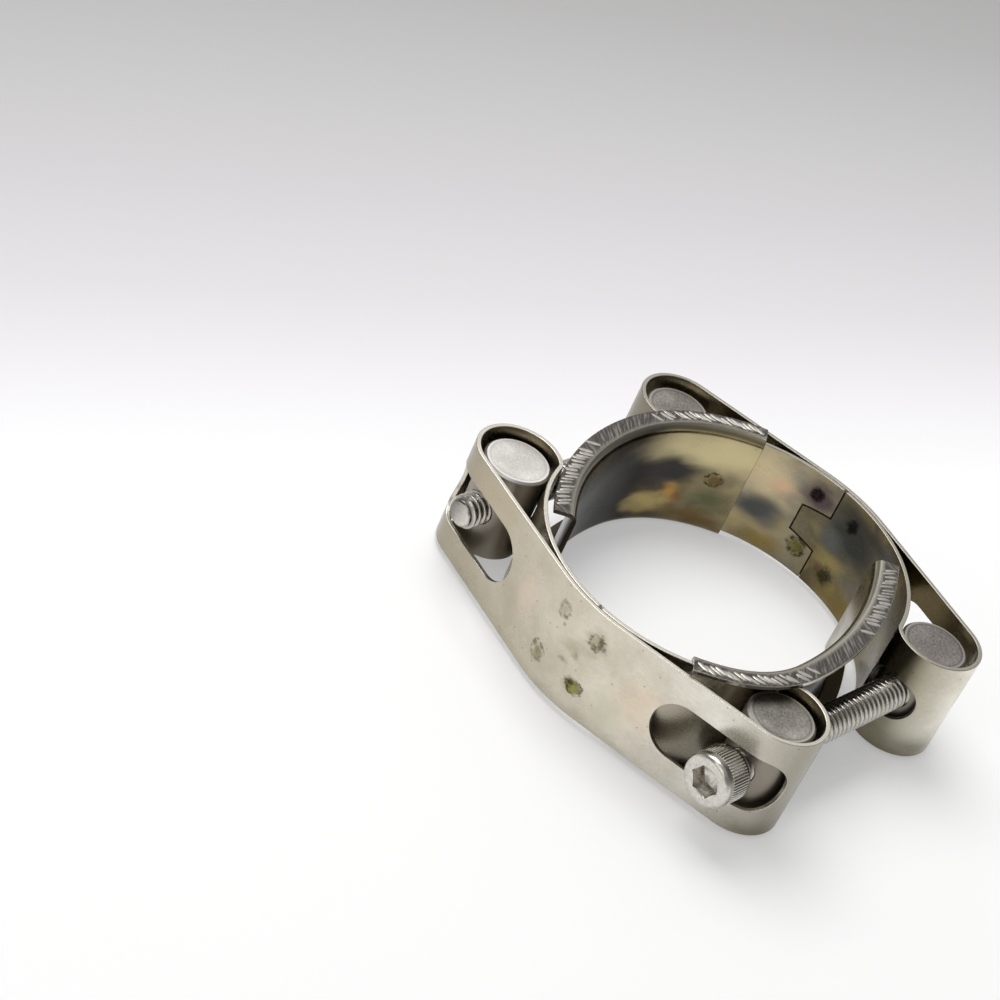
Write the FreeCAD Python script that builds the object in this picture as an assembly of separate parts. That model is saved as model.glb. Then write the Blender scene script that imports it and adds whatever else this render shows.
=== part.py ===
import FreeCAD, Part
import math
import os
from FreeCAD import Vector

# A double bolt pipe clamp, open on the bench, lying flat with the pipe axis upright.
# Two folded bands of sheet steel face each other across the pipe. Each band is one strip:
# it forms the half ring, turns round a barrel at each end, and comes back as an outer layer
# that runs straight from barrel to barrel, spot welded on the half ring. Two socket screws
# cross the gap, each free in one barrel and threaded in the barrel opposite. A flanged
# liner is welded in each band at one end and bridges the gap with the other end free.
# The rear half is modelled, and the front half is the same turned by 180 degrees about
# the pipe axis, apart from how far its liner has sprung inwards. Lengths are in mm and
# angles in degrees, measured from +X towards +Y.

# Strip and half ring
STRIP_WIDTH = 22.0
STRIP_THICKNESS = 0.85
RING_RADIUS = 30.0
RING_SHIFT = 6.2
LAYER_GAP = 0.12

# Barrels and the loops round them
BARREL_DIAMETER = 12.6
BARREL_LENGTH = 18.6
BARREL_CHAMFER = 0.45
BARREL_REACH_Y = 22.1
BARREL_RING_CLEARANCE = 0.25
LOOP_CLEARANCE = 0.75
LOOP_PLAY_Y = 0.3
CROWN_BEND_RADIUS = 1.6

# Openings in the bands
SLOT_WIDTH = 11.2
SLOT_START = 18.8
SLOT_END_ANGLE = 17.0
CROWN_HOLE_WIDTH = 8.2
CROWN_HOLE_LENGTH = 9.8

# Interlocking joint between the two ends of the strip
SEAM_X = -1.9
TONGUE_LENGTH = 6.1
TONGUE_ROOT_WIDTH = 8.4
TONGUE_TIP_WIDTH = 6.0
SEAM_GAP = 0.16

# Spot welds
WELD_DIAMETER = 4.4
WELD_SIDE_STEP = 4.4
WELD_RISE = 5.8
LINER_WELD_ANGLE = 10.0

# Liners
LINER_THICKNESS = 0.85
LINER_EDGE_CLEARANCE = 0.35
LINER_CORNER_CLEARANCE = 0.02
LINER_FLANGE_REACH = 4.6
LINER_BEND_RADIUS = 1.0
LINER_LENGTH = 61.0
LINER_SEAM_ANGLE = 127.4
REAR_LINER = {"hug_end": 180.0, "spring_radius": 29.0, "free_radius": 44.3}
FRONT_LINER = {"hug_end": 142.0, "spring_radius": 20.2, "free_radius": 61.0}

# Socket screws
SCREW_DIAMETER = 6.35
SCREW_LENGTH = 63.5
SCREW_STAND_OFF = 2.3
SCREW_TIP_CHAMFER = 0.9
HEAD_DIAMETER = 10.0
HEAD_HEIGHT = 6.35
HEAD_CHAMFER = 0.6
SOCKET_ACROSS_FLATS = 5.0
SOCKET_DEPTH = 3.2
THREAD_CLEARANCE = 0.05
PASS_CLEARANCE = 0.10

# Places that follow from the sizes above
RING = Vector(0, RING_SHIFT, 0)
INNER_LAYER = RING_RADIUS + STRIP_THICKNESS / 2
OUTER_LAYER = INNER_LAYER + STRIP_THICKNESS + LAYER_GAP
RING_OUTSIDE = RING_RADIUS + STRIP_THICKNESS
LINER_HEIGHT = STRIP_WIDTH + 2 * (LINER_EDGE_CLEARANCE + LINER_THICKNESS)
LINER_CORNER_DEPTH = LINER_BEND_RADIUS - LINER_EDGE_CLEARANCE
LINER_BAND_GAP = LINER_CORNER_CLEARANCE + LINER_CORNER_DEPTH * math.tan(math.radians(22.5))
MID_HEIGHT = LINER_HEIGHT / 2
STRIP_BASE = MID_HEIGHT - STRIP_WIDTH / 2
BARREL_RADIUS = BARREL_DIAMETER / 2
BARREL_REACH = RING_OUTSIDE + BARREL_RING_CLEARANCE + BARREL_RADIUS
BARREL_X = math.sqrt(BARREL_REACH ** 2 - (BARREL_REACH_Y - RING_SHIFT) ** 2)
LOOP = Vector(BARREL_X, BARREL_REACH_Y + LOOP_PLAY_Y, 0)
LOOP_INSIDE = BARREL_RADIUS + LOOP_CLEARANCE + LOOP_PLAY_Y
LOOP_MIDDLE = LOOP_INSIDE + STRIP_THICKNESS / 2
CUT_MARGIN = 1.0

os.makedirs("parts", exist_ok=True)


def polar(centre, radius, angle):
    """Return the point at a radius and an angle about a centre, in plan."""
    turn = math.radians(angle)
    return centre + Vector(radius * math.cos(turn), radius * math.sin(turn), 0)


def arc(centre, radius, start, end):
    """Return the plan arc from one angle to another."""
    middle = polar(centre, radius, (start + end) / 2)
    return Part.Arc(polar(centre, radius, start), middle, polar(centre, radius, end)).toShape()


def line(start, end):
    """Return the straight edge between two points."""
    return Part.LineSegment(start, end).toShape()


def angle_of(vector):
    """Return the plan angle of a vector."""
    return math.degrees(math.atan2(vector.y, vector.x))


def crown_bend_centre():
    """Return the centre of the small bend that takes the half ring into the loop."""
    across = LOOP - RING
    reach = across.Length
    from_ring = INNER_LAYER + CROWN_BEND_RADIUS
    from_loop = LOOP_MIDDLE - CROWN_BEND_RADIUS
    along = (from_ring ** 2 - from_loop ** 2 + reach ** 2) / (2 * reach)
    aside = math.sqrt(from_ring ** 2 - along ** 2)
    unit = across * (1 / reach)
    return RING + unit * along + Vector(unit.y, -unit.x, 0) * aside


BEND = crown_bend_centre()
TANGENT_ANGLE = angle_of(LOOP - RING) + math.degrees(
    math.acos((OUTER_LAYER - LOOP_MIDDLE) / (LOOP - RING).Length))
LOOP_END_ANGLE = angle_of(BEND - LOOP)
RING_END_ANGLE = angle_of(BEND - RING)


def band_line(offset):
    """Return the closed plan line of the folded strip, moved outwards from its middle."""
    half = [
        arc(RING, OUTER_LAYER + offset, 90, TANGENT_ANGLE),
        line(polar(RING, OUTER_LAYER + offset, TANGENT_ANGLE),
             polar(LOOP, LOOP_MIDDLE + offset, TANGENT_ANGLE)),
        arc(LOOP, LOOP_MIDDLE + offset, TANGENT_ANGLE, LOOP_END_ANGLE),
        arc(BEND, CROWN_BEND_RADIUS + offset, LOOP_END_ANGLE, RING_END_ANGLE - 180),
        arc(RING, INNER_LAYER - offset, RING_END_ANGLE, 90),
    ]
    other_half = [edge.mirror(Vector(0, 0, 0), Vector(1, 0, 0)) for edge in half]
    return Part.Wire(Part.__sortEdges__(half + other_half))


def upright(shape, base, height):
    """Extrude a plan face from a base height."""
    solid = shape.extrude(Vector(0, 0, height))
    solid.translate(Vector(0, 0, base))
    return solid


def ring_wall(inner, outer, base, height):
    """Return a round wall about the half ring's axis."""
    wall = Part.makeCylinder(outer, height, RING + Vector(0, 0, base))
    return wall.cut(Part.makeCylinder(inner, height, RING + Vector(0, 0, base)))


def radial_stud(centre, radius, angle, from_radius, to_radius, height):
    """Return a round stud that points away from a plan centre."""
    direction = polar(Vector(0, 0, 0), 1, angle)
    start = polar(centre, from_radius, angle) + Vector(0, 0, height)
    return Part.makeCylinder(radius, to_radius - from_radius, start, direction)


def slot_cutter():
    """Return the cutter of the long slot: round ends, straight run and a turn with the loop."""
    half_width = SLOT_WIDTH / 2
    low = LOOP_INSIDE - CUT_MARGIN
    high = LOOP_INSIDE + STRIP_THICKNESS + CUT_MARGIN
    outward = polar(Vector(0, 0, 0), 1, TANGENT_ANGLE)
    along = Vector(outward.y, -outward.x, 0)
    arc_run = math.radians(90 - TANGENT_ANGLE) * (OUTER_LAYER + STRIP_THICKNESS / 2)
    straight_run = SLOT_START + half_width - arc_run
    first_end = polar(RING, OUTER_LAYER + low - LOOP_MIDDLE, TANGENT_ANGLE) + along * straight_run
    last_end = polar(LOOP, low, TANGENT_ANGLE)
    depth = high - low
    round_start = Part.makeCylinder(
        half_width, depth, first_end + Vector(0, 0, MID_HEIGHT), outward)
    corners = [first_end, last_end, last_end + outward * depth, first_end + outward * depth]
    straight_face = Part.Face(Part.makePolygon(corners + [first_end]))
    straight = upright(straight_face, MID_HEIGHT - half_width, SLOT_WIDTH)
    turn_end = SLOT_END_ANGLE + math.degrees(half_width / (LOOP_INSIDE + STRIP_THICKNESS))
    sector_edges = [
        arc(LOOP, low, TANGENT_ANGLE, turn_end),
        line(polar(LOOP, low, turn_end), polar(LOOP, high, turn_end)),
        arc(LOOP, high, turn_end, TANGENT_ANGLE),
        line(polar(LOOP, high, TANGENT_ANGLE), polar(LOOP, low, TANGENT_ANGLE)),
    ]
    sector = upright(Part.Face(Part.Wire(sector_edges)), MID_HEIGHT - half_width, SLOT_WIDTH)
    round_end = radial_stud(LOOP, half_width, turn_end, low, high, MID_HEIGHT)
    return round_start.multiFuse([straight, sector, round_end])


def crown_cutter():
    """Return the cutter of the short slot that lets the screw through the crown."""
    half_width = CROWN_HOLE_WIDTH / 2
    half_run = CROWN_HOLE_LENGTH / 2 - half_width
    front = LOOP.y - LOOP_INSIDE - STRIP_THICKNESS - CUT_MARGIN
    depth = STRIP_THICKNESS + 3 * CUT_MARGIN
    ends = []
    for side in (-1, 1):
        start = Vector(LOOP.x + side * half_run, front, MID_HEIGHT)
        ends.append(Part.makeCylinder(half_width, depth, start, Vector(0, 1, 0)))
    corner = Vector(LOOP.x - half_run, front, MID_HEIGHT - half_width)
    middle = Part.makeBox(2 * half_run, depth, CROWN_HOLE_WIDTH, corner)
    return middle.multiFuse(ends)


def seam_cutter():
    """Return the narrow gap of the interlocking joint, held to the half ring's layer."""
    root = TONGUE_ROOT_WIDTH / 2
    tip = TONGUE_TIP_WIDTH / 2
    top = STRIP_WIDTH / 2 + CUT_MARGIN
    tip_x = SEAM_X - TONGUE_LENGTH
    gap = SEAM_GAP / 2
    left_side = [(SEAM_X - gap, top), (SEAM_X - gap, root + gap), (tip_x - gap, tip + gap)]
    right_side = [(tip_x + gap, tip - gap), (SEAM_X + gap, root - gap), (SEAM_X + gap, top)]
    lower_left = [(x, -z) for x, z in reversed(left_side)]
    lower_right = [(x, -z) for x, z in reversed(right_side)]
    points = left_side + lower_left + lower_right + right_side
    corners = [Vector(x, 0, MID_HEIGHT + z) for x, z in points]
    ribbon = Part.Face(Part.makePolygon(corners + [corners[0]]))
    prism = ribbon.extrude(Vector(0, RING_SHIFT + 2 * RING_RADIUS, 0))
    layer = ring_wall(RING_RADIUS - CUT_MARGIN, RING_OUTSIDE + LAYER_GAP / 2,
                      STRIP_BASE - CUT_MARGIN, STRIP_WIDTH + 2 * CUT_MARGIN)
    return prism.common(layer)


def layer_welds():
    """Return the spot weld nuggets between the half ring and the outer layer."""
    nuggets = []
    for x in (SEAM_X - WELD_SIDE_STEP, SEAM_X + WELD_SIDE_STEP):
        angle = 90 - math.degrees(math.asin(x / RING_OUTSIDE))
        for rise in (-WELD_RISE, WELD_RISE):
            nuggets.append(radial_stud(
                RING, WELD_DIAMETER / 2, angle, INNER_LAYER,
                OUTER_LAYER, MID_HEIGHT + rise))
    return nuggets


def make_band():
    """Return one folded band, rear half of the clamp."""
    outside = Part.Face(band_line(STRIP_THICKNESS / 2))
    pocket = Part.Face(band_line(-STRIP_THICKNESS / 2))
    strip = upright(outside.cut(pocket).Faces[0], STRIP_BASE, STRIP_WIDTH)
    strip = strip.multiFuse(layer_welds())
    right_cuts = [slot_cutter(), crown_cutter()]
    left_cuts = [cut.mirror(Vector(0, 0, 0), Vector(1, 0, 0)) for cut in right_cuts]
    return strip.cut(Part.makeCompound(right_cuts + left_cuts + [seam_cutter()]))


def liner_section():
    """Return the liner's channel section, from the wall's inner face out to both flanges.

    Each bend is drawn as two flats, because round bends swept along the liner's curves
    would take more facets than the rest of the clamp.
    """
    outer_bend = LINER_BEND_RADIUS + LINER_THICKNESS
    half = LINER_HEIGHT / 2
    quarter = math.sqrt(0.5)
    rows = []
    for side in (1, -1):
        bend = Vector(outer_bend, 0, MID_HEIGHT + side * (half - outer_bend))
        tips = {}
        for name, radius in (("outer", outer_bend), ("inner", LINER_BEND_RADIUS)):
            wall = bend + Vector(-radius, 0, 0)
            middle = bend + Vector(-radius * quarter, 0, side * radius * quarter)
            flange = bend + Vector(0, 0, side * radius)
            edge = Vector(LINER_FLANGE_REACH, 0, flange.z)
            tips[name] = (wall, middle, flange, edge)
        rows.append(tips)
    upper, lower = rows
    edges = [line(lower["outer"][0], upper["outer"][0])]
    edges += [line(lower["inner"][0], upper["inner"][0])]
    for tips in rows:
        for name in ("outer", "inner"):
            wall, middle, flange, edge = tips[name]
            edges.append(line(wall, middle))
            edges.append(line(middle, flange))
            edges.append(line(flange, edge))
        edges.append(line(tips["outer"][3], tips["inner"][3]))
    return Part.Face(Part.Wire(Part.__sortEdges__(edges)))


def swept_piece(centre, wall_radius, start, end):
    """Revolve the liner's section about an upright axis from one angle to another."""
    section = liner_section()
    section.translate(Vector(wall_radius, 0, 0))
    section.rotate(Vector(0, 0, 0), Vector(0, 0, 1), start)
    section.translate(centre)
    return section.revolve(centre, Vector(0, 0, 1), end - start)


def make_liner(shape):
    """Return one liner: it hugs its band, springs inwards, then runs free across the gap."""
    wall_radius = RING_RADIUS - LINER_BAND_GAP - LINER_THICKNESS
    hug_end = shape["hug_end"]
    spring_radius = shape["spring_radius"]
    free_radius = shape["free_radius"]
    spring_centre = polar(RING, wall_radius - spring_radius, hug_end)
    free_centre = spring_centre + Vector(free_radius - spring_radius, 0, 0)
    used = math.radians(hug_end - LINER_SEAM_ANGLE) * wall_radius
    used += math.radians(180 - hug_end) * spring_radius
    free_end = 180 + math.degrees((LINER_LENGTH - used) / free_radius)
    pieces = [swept_piece(RING, wall_radius, LINER_SEAM_ANGLE, hug_end)]
    if hug_end < 180:
        pieces.append(swept_piece(spring_centre, spring_radius, hug_end, 180))
    pieces.append(swept_piece(free_centre, free_radius, 180, free_end))
    weld = radial_stud(RING, WELD_DIAMETER / 2, LINER_SEAM_ANGLE + LINER_WELD_ANGLE,
                       wall_radius + LINER_THICKNESS / 2, RING_RADIUS + CUT_MARGIN, MID_HEIGHT)
    bore = Part.makeCylinder(RING_RADIUS, LINER_HEIGHT, RING)
    return pieces[0].multiFuse(pieces[1:] + [weld.common(bore)])


def make_barrel(bore_radius):
    """Return the rear right barrel: a chamfered round bar, cross drilled for the screw."""
    base = MID_HEIGHT - BARREL_LENGTH / 2
    bar = Part.makeCylinder(BARREL_RADIUS, BARREL_LENGTH, Vector(BARREL_X, BARREL_REACH_Y, base))
    rims = [edge for edge in bar.Edges if len(edge.Vertexes) == 1]
    bar = bar.makeChamfer(BARREL_CHAMFER, rims)
    start = Vector(BARREL_X, BARREL_REACH_Y - BARREL_DIAMETER, MID_HEIGHT)
    drill = Part.makeCylinder(bore_radius, 2 * BARREL_DIAMETER, start, Vector(0, 1, 0))
    return bar.cut(drill)


def make_screw():
    """Return the front screw: head beyond the front right barrel, tip beyond the rear one."""
    seat = -(BARREL_REACH_Y + BARREL_RADIUS + SCREW_STAND_OFF)
    top = seat - HEAD_HEIGHT
    tip = seat + SCREW_LENGTH
    head_radius = HEAD_DIAMETER / 2
    radius = SCREW_DIAMETER / 2
    outline = [
        (0, top), (head_radius - HEAD_CHAMFER, top), (head_radius, top + HEAD_CHAMFER),
        (head_radius, seat), (radius, seat), (radius, tip - SCREW_TIP_CHAMFER),
        (radius - SCREW_TIP_CHAMFER, tip), (0, tip),
    ]
    points = [Vector(r, y, 0) for r, y in outline]
    profile = Part.Face(Part.makePolygon(points + [points[0]]))
    body = profile.revolve(Vector(0, 0, 0), Vector(0, 1, 0), 360)
    corner_radius = SOCKET_ACROSS_FLATS / math.sqrt(3)
    corners = []
    for index in range(6):
        turn = math.radians(60 * index + 30)
        corners.append(Vector(corner_radius * math.cos(turn), top, corner_radius * math.sin(turn)))
    socket = Part.Face(Part.makePolygon(corners + [corners[0]])).extrude(Vector(0, SOCKET_DEPTH, 0))
    drill_point = Part.makeCone(SOCKET_ACROSS_FLATS / 2, 0, SOCKET_ACROSS_FLATS / 4,
                                Vector(0, top + SOCKET_DEPTH, 0), Vector(0, 1, 0))
    body = body.cut(socket.fuse(drill_point))
    body.translate(Vector(BARREL_X, 0, MID_HEIGHT))
    return body


def half_turn(shape):
    """Return a copy turned by 180 degrees about the pipe axis."""
    turned = shape.copy()
    turned.rotate(Vector(0, 0, 0), Vector(0, 0, 1), 180)
    return turned


def mirrored(shape):
    """Return the mirror image across the plane between left and right."""
    return shape.mirror(Vector(0, 0, 0), Vector(1, 0, 0))


def save(name, shape):
    """Write one named piece as a single clean solid."""
    solid = shape.removeSplitter().Solids[0]
    solid.exportStep(os.path.join("parts", name + ".step"))
    box = solid.BoundBox
    print(name, "valid", solid.isValid(), "solids", len(shape.Solids), "volume",
          round(solid.Volume, 2), "box", [round(v, 2) for v in (
              box.XMin, box.YMin, box.ZMin, box.XMax, box.YMax, box.ZMax)])


def main():
    """Build every piece and write it."""
    screw_radius = SCREW_DIAMETER / 2
    band = make_band()
    threaded = make_barrel(screw_radius + THREAD_CLEARANCE)
    plain = mirrored(make_barrel(screw_radius + PASS_CLEARANCE))
    screw = make_screw()
    save("rear_band", band)
    save("front_band", half_turn(band))
    save("rear_liner", make_liner(REAR_LINER))
    save("front_liner", half_turn(make_liner(FRONT_LINER)))
    save("rear_threaded_barrel", threaded)
    save("front_threaded_barrel", half_turn(threaded))
    save("rear_plain_barrel", plain)
    save("front_plain_barrel", half_turn(plain))
    save("front_screw", screw)
    save("rear_screw", half_turn(screw))


main()
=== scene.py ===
"""Looks of the double bolt pipe clamp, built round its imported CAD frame.

Sizes are in millimetres, as in the CAD source, until a mesh is written in metres. The rear
half is modelled and the front half is the same turned by half a turn about the pipe axis.
"""
import logging
import math
from dataclasses import dataclass, field
from enum import Enum
from typing import Any, Sequence

import bmesh
import bpy
import numpy as np
from mathutils import Euler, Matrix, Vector
from mathutils.geometry import delaunay_2d_cdt


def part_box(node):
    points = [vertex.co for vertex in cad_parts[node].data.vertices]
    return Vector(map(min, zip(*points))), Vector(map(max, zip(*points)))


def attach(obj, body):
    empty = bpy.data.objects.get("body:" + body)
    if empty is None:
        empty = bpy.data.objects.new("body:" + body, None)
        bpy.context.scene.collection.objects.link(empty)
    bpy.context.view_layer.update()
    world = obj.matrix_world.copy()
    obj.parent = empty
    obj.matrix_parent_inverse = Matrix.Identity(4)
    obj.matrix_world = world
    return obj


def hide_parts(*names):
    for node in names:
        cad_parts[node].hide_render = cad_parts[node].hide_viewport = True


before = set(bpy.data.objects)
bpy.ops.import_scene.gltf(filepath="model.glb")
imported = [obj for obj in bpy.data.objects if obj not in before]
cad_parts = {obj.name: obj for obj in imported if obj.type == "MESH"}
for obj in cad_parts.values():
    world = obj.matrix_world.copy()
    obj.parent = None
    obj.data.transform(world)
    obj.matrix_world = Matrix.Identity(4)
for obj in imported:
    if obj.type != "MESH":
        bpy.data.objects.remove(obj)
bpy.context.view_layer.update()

LOG = logging.getLogger("pipe_clamp")
# One millimetre in metres, and the height of the plane through both screws' axes in mm.
MM = 0.001
MID_HEIGHT = 12.2
# Third flat coordinate of a sheet's other face, so that patches stay on the face they are on and
# that face gets its painted shade and light.
UNSEEN_SIDE = 50.0
# Lean of the normal halfway round a rounded edge, and its inset as a share of the rounding.
DIAGONAL = math.sqrt(0.5)
CORNER_PART = 1.0 - DIAGONAL
# Turns in degrees at which each of a flange lip's two rounded corners has points.
LIP_TURNS = (30.0, 60.0, 90.0)
LIP_POINTS = 2 * len(LIP_TURNS)
# Rings that a wave texture draws in one unit at scale 1.
WAVES_PER_UNIT = 3.18

Surface = tuple[bpy.types.NodeSocket, bpy.types.NodeSocket, bpy.types.NodeSocket]


class Half(Enum):
    """Which half of the clamp a piece belongs to, and how it is turned from the rear one."""

    REAR = 1.0
    FRONT = -1.0

    @property
    def body(self) -> str:
        """Name of the CAD body that this half's pieces ride on."""
        return self.name.lower() + "_half"


# ---------------------------------------------------------------- small tools


def linear(hex_code: str) -> tuple[float, float, float, float]:
    """Turn an sRGB hex colour into Blender's linear colour.

    Args:
        hex_code: Six hex digits with a leading hash.

    Returns:
        Red, green, blue and full alpha.
    """
    channels = []
    for start in (1, 3, 5):
        value = int(hex_code[start:start + 2], 16) / 255.0
        channels.append(value / 12.92 if value <= 0.04045 else ((value + 0.055) / 1.055) ** 2.4)
    return (channels[0], channels[1], channels[2], 1.0)


def add_node(tree: bpy.types.NodeTree, kind: str, inputs: dict[Any, Any] | None = None,
             **settings: Any) -> bpy.types.Node:
    """Add one node with its settings, values and links.

    Args:
        tree: The node tree that gets the node.
        kind: Blender's name of the node type.
        inputs: Value, socket or node for each input, by name or number. A node stands for
            its first output, and a list links several to one socket.
        settings: Properties of the node itself.

    Returns:
        The new node.
    """
    node = tree.nodes.new(kind)
    for name, value in settings.items():
        setattr(node, name, value)
    for key, value in (inputs or {}).items():
        for source in value if isinstance(value, list) else [value]:
            if isinstance(source, bpy.types.Node):
                source = source.outputs[0]
            if isinstance(source, bpy.types.NodeSocket):
                tree.links.new(source, node.inputs[key])
            else:
                node.inputs[key].default_value = source
    return node


def mesh_object(name: str, points: np.ndarray, faces: Sequence[Sequence[int]],
                normals: np.ndarray | None = None, **marks: np.ndarray) -> bpy.types.Object:
    """Make a smooth mesh object at the origin.

    Args:
        name: Name of the object and of its mesh.
        points: Corner places in mm.
        faces: Corner numbers of each face, anticlockwise seen from outside.
        normals: Smooth normal at each corner, where they are known.
        marks: Values kept at each corner for the materials, by attribute name.

    Returns:
        The object, linked into the scene.
    """
    mesh = bpy.data.meshes.new(name)
    mesh.from_pydata((points * MM).tolist(), [], [list(face) for face in faces])
    mesh.update()
    mesh.polygons.foreach_set("use_smooth", [True] * len(mesh.polygons))
    for title, values in marks.items():
        kind, key = ("FLOAT_VECTOR", "vector") if values.ndim == 2 else ("FLOAT", "value")
        layer = mesh.attributes.new(title, kind, "POINT")
        layer.data.foreach_set(key, values.astype(np.float32).ravel())
    if normals is not None:
        mesh.normals_split_custom_set_from_vertices(normals.tolist())
    piece = bpy.data.objects.new(name, mesh)
    bpy.context.scene.collection.objects.link(piece)
    return piece


def plain_mesh(piece: bpy.types.Object) -> None:
    """Turn an object with modifiers into one with a plain mesh and no modifiers.

    Args:
        piece: The object, which keeps its name.
    """
    depsgraph = bpy.context.evaluated_depsgraph_get()
    evaluated = piece.evaluated_get(depsgraph)
    mesh = bpy.data.meshes.new_from_object(evaluated, preserve_all_data_layers=True,
                                           depsgraph=depsgraph)
    piece.modifiers.clear()
    old = piece.data
    piece.data = mesh
    mesh.name = piece.name
    bpy.data.meshes.remove(old)


def run_tree(piece: bpy.types.Object, tree: bpy.types.NodeTree, values: dict[str, Any]) -> None:
    """Put a Geometry Nodes tree on a piece, set its inputs and keep the result as a plain mesh.

    Args:
        piece: The object that carries the tree.
        tree: The tree, which ends in a geometry output.
        values: Value of each named input.
    """
    modifier = piece.modifiers.new(tree.name, "NODES")
    modifier.node_group = tree
    for item in tree.interface.items_tree:
        if item.item_type == "SOCKET" and item.in_out == "INPUT" and item.name in values:
            modifier[item.identifier] = values[item.name]
    plain_mesh(piece)


def node_group(name: str, inputs: dict[str, str]
               ) -> tuple[bpy.types.NodeTree, bpy.types.NodeOutputs]:
    """Start a Geometry Nodes tree with named inputs and one geometry output.

    Args:
        name: Name of the tree.
        inputs: Type of each named input, as Blender's socket type without its prefix.

    Returns:
        The tree and the sockets of its inputs.
    """
    tree = bpy.data.node_groups.new(name, "GeometryNodeTree")
    for title, kind in inputs.items():
        tree.interface.new_socket(title, in_out="INPUT", socket_type="NodeSocket" + kind)
    tree.interface.new_socket("Geometry", in_out="OUTPUT", socket_type="NodeSocketGeometry")
    return tree, add_node(tree, "NodeGroupInput").outputs


def end_group(tree: bpy.types.NodeTree, geometry: bpy.types.Node,
              finish: bpy.types.NodeSocket) -> None:
    """End a Geometry Nodes tree: real meshes instead of instances, then the material.

    Args:
        tree: The tree to end.
        geometry: The node that makes the geometry.
        finish: The material's socket.
    """
    real = add_node(tree, "GeometryNodeRealizeInstances", {"Geometry": geometry})
    dressed = add_node(tree, "GeometryNodeSetMaterial", {"Geometry": real, "Material": finish})
    add_node(tree, "NodeGroupOutput", {0: dressed})


def graded(tree: bpy.types.NodeTree, value: bpy.types.NodeSocket,
           tones: Sequence[tuple[float, str]]) -> bpy.types.NodeSocket:
    """Run a colour through several tones along a measured length.

    Args:
        tree: The node tree that gets the nodes.
        value: Socket of the length, in mm.
        tones: Lengths in rising order, each with its hex colour.

    Returns:
        The colour's socket.
    """
    low, high = tones[0][0], tones[-1][0]
    ramp = add_node(tree, "ShaderNodeValToRGB", {0: add_node(tree, "ShaderNodeMapRange", {
        "Value": value, "From Min": low, "From Max": high})})
    stops = ramp.color_ramp.elements
    for place, _ in tones[1:-1]:
        stops.new((place - low) / (high - low))
    for stop, (_, tone) in zip(sorted(stops, key=lambda item: item.position), tones):
        stop.color = linear(tone)
    return ramp.outputs[0]


def joined(name: str, parts: Sequence[bpy.types.Object]) -> bpy.types.Object:
    """Join several objects into the first and give it a name.

    Args:
        name: New name of the object and of its mesh.
        parts: The objects, all plain meshes.

    Returns:
        The first object, with everything in it.
    """
    with bpy.context.temp_override(active_object=parts[0], selected_editable_objects=list(parts)):
        bpy.ops.object.join()
    parts[0].name = name
    parts[0].data.name = name
    return parts[0]


def tube_sides(rows: int, ring: int) -> list[tuple[int, ...]]:
    """Faces between the rings of a tube, whose rings run clockwise seen from the last one.

    Args:
        rows: How many rings there are.
        ring: How many points each has.

    Returns:
        Corner numbers of the faces, row by row.
    """
    faces = []
    for row in range(rows - 1):
        for spot in range(ring):
            a, b = row * ring + spot, row * ring + (spot + 1) % ring
            faces.append((a, a + ring, b + ring, b))
    return faces


def capped_tube(rows: int, ring: int) -> list[tuple[int, ...]]:
    """Faces of a closed tube, whose rings run anticlockwise seen from the last one.

    Args:
        rows: How many rings there are.
        ring: How many points each has.

    Returns:
        Corner numbers of the sides, then of the first and the last end.
    """
    last = (rows - 1) * ring
    return [(a, b, c, d) for a, d, c, b in tube_sides(rows, ring)] + [
        tuple(range(ring))[::-1], tuple(range(last, last + ring))]


def stadium_distance(points: np.ndarray, start: float, end: float, radius: float) -> np.ndarray:
    """Distance of flat points from a round-ended slot on the strip's middle, negative inside."""
    along = points[:, 0] - np.clip(points[:, 0], start, end)
    return np.hypot(along, points[:, 1]) - radius


def loop_normals(loop: np.ndarray) -> np.ndarray:
    """Mitres of a closed flat loop, which move every side by one when they move its corners.

    They point to the loop's right, so out of one that is drawn anticlockwise.

    Args:
        loop: Corners of the loop, in order.

    Returns:
        One vector for each corner.
    """
    before = loop - np.roll(loop, 1, axis=0)
    after = np.roll(loop, -1, axis=0) - loop
    before /= np.linalg.norm(before, axis=1, keepdims=True)
    after /= np.linalg.norm(after, axis=1, keepdims=True)
    first = np.stack([before[:, 1], -before[:, 0]], axis=1)
    second = np.stack([after[:, 1], -after[:, 0]], axis=1)
    return (first + second) / (1.0 + np.sum(first * second, axis=1, keepdims=True))


def inside_loop(points: np.ndarray, loop: np.ndarray) -> np.ndarray:
    """Say which flat points lie inside a closed loop.

    Args:
        points: The points.
        loop: Corners of the loop, in order.

    Returns:
        True for each point that is inside.
    """
    ends = np.roll(loop, -1, axis=0)
    inside = np.zeros(len(points), bool)
    for (x0, y0), (x1, y1) in zip(loop, ends):
        if y0 == y1:
            continue
        crosses = (points[:, 1] < y0) != (points[:, 1] < y1)
        inside ^= crosses & (points[:, 0] < x0 + (points[:, 1] - y0) * (x1 - x0) / (y1 - y0))
    return inside


def divided(corners: Sequence[tuple[float, float]], step: float) -> np.ndarray:
    """Divide the sides of a closed loop.

    Args:
        corners: Corners of the loop, in order.
        step: Longest run between two points.

    Returns:
        The corners and the points between them.
    """
    places = []
    for index, corner in enumerate(corners):
        here, there = np.array(corner), np.array(corners[(index + 1) % len(corners)])
        count = max(1, math.ceil(float(np.linalg.norm(there - here)) / step))
        places += [here + (there - here) * part / count for part in range(count)]
    return np.array(places)


# ---------------------------------------------------------------- stains and finishes


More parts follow.
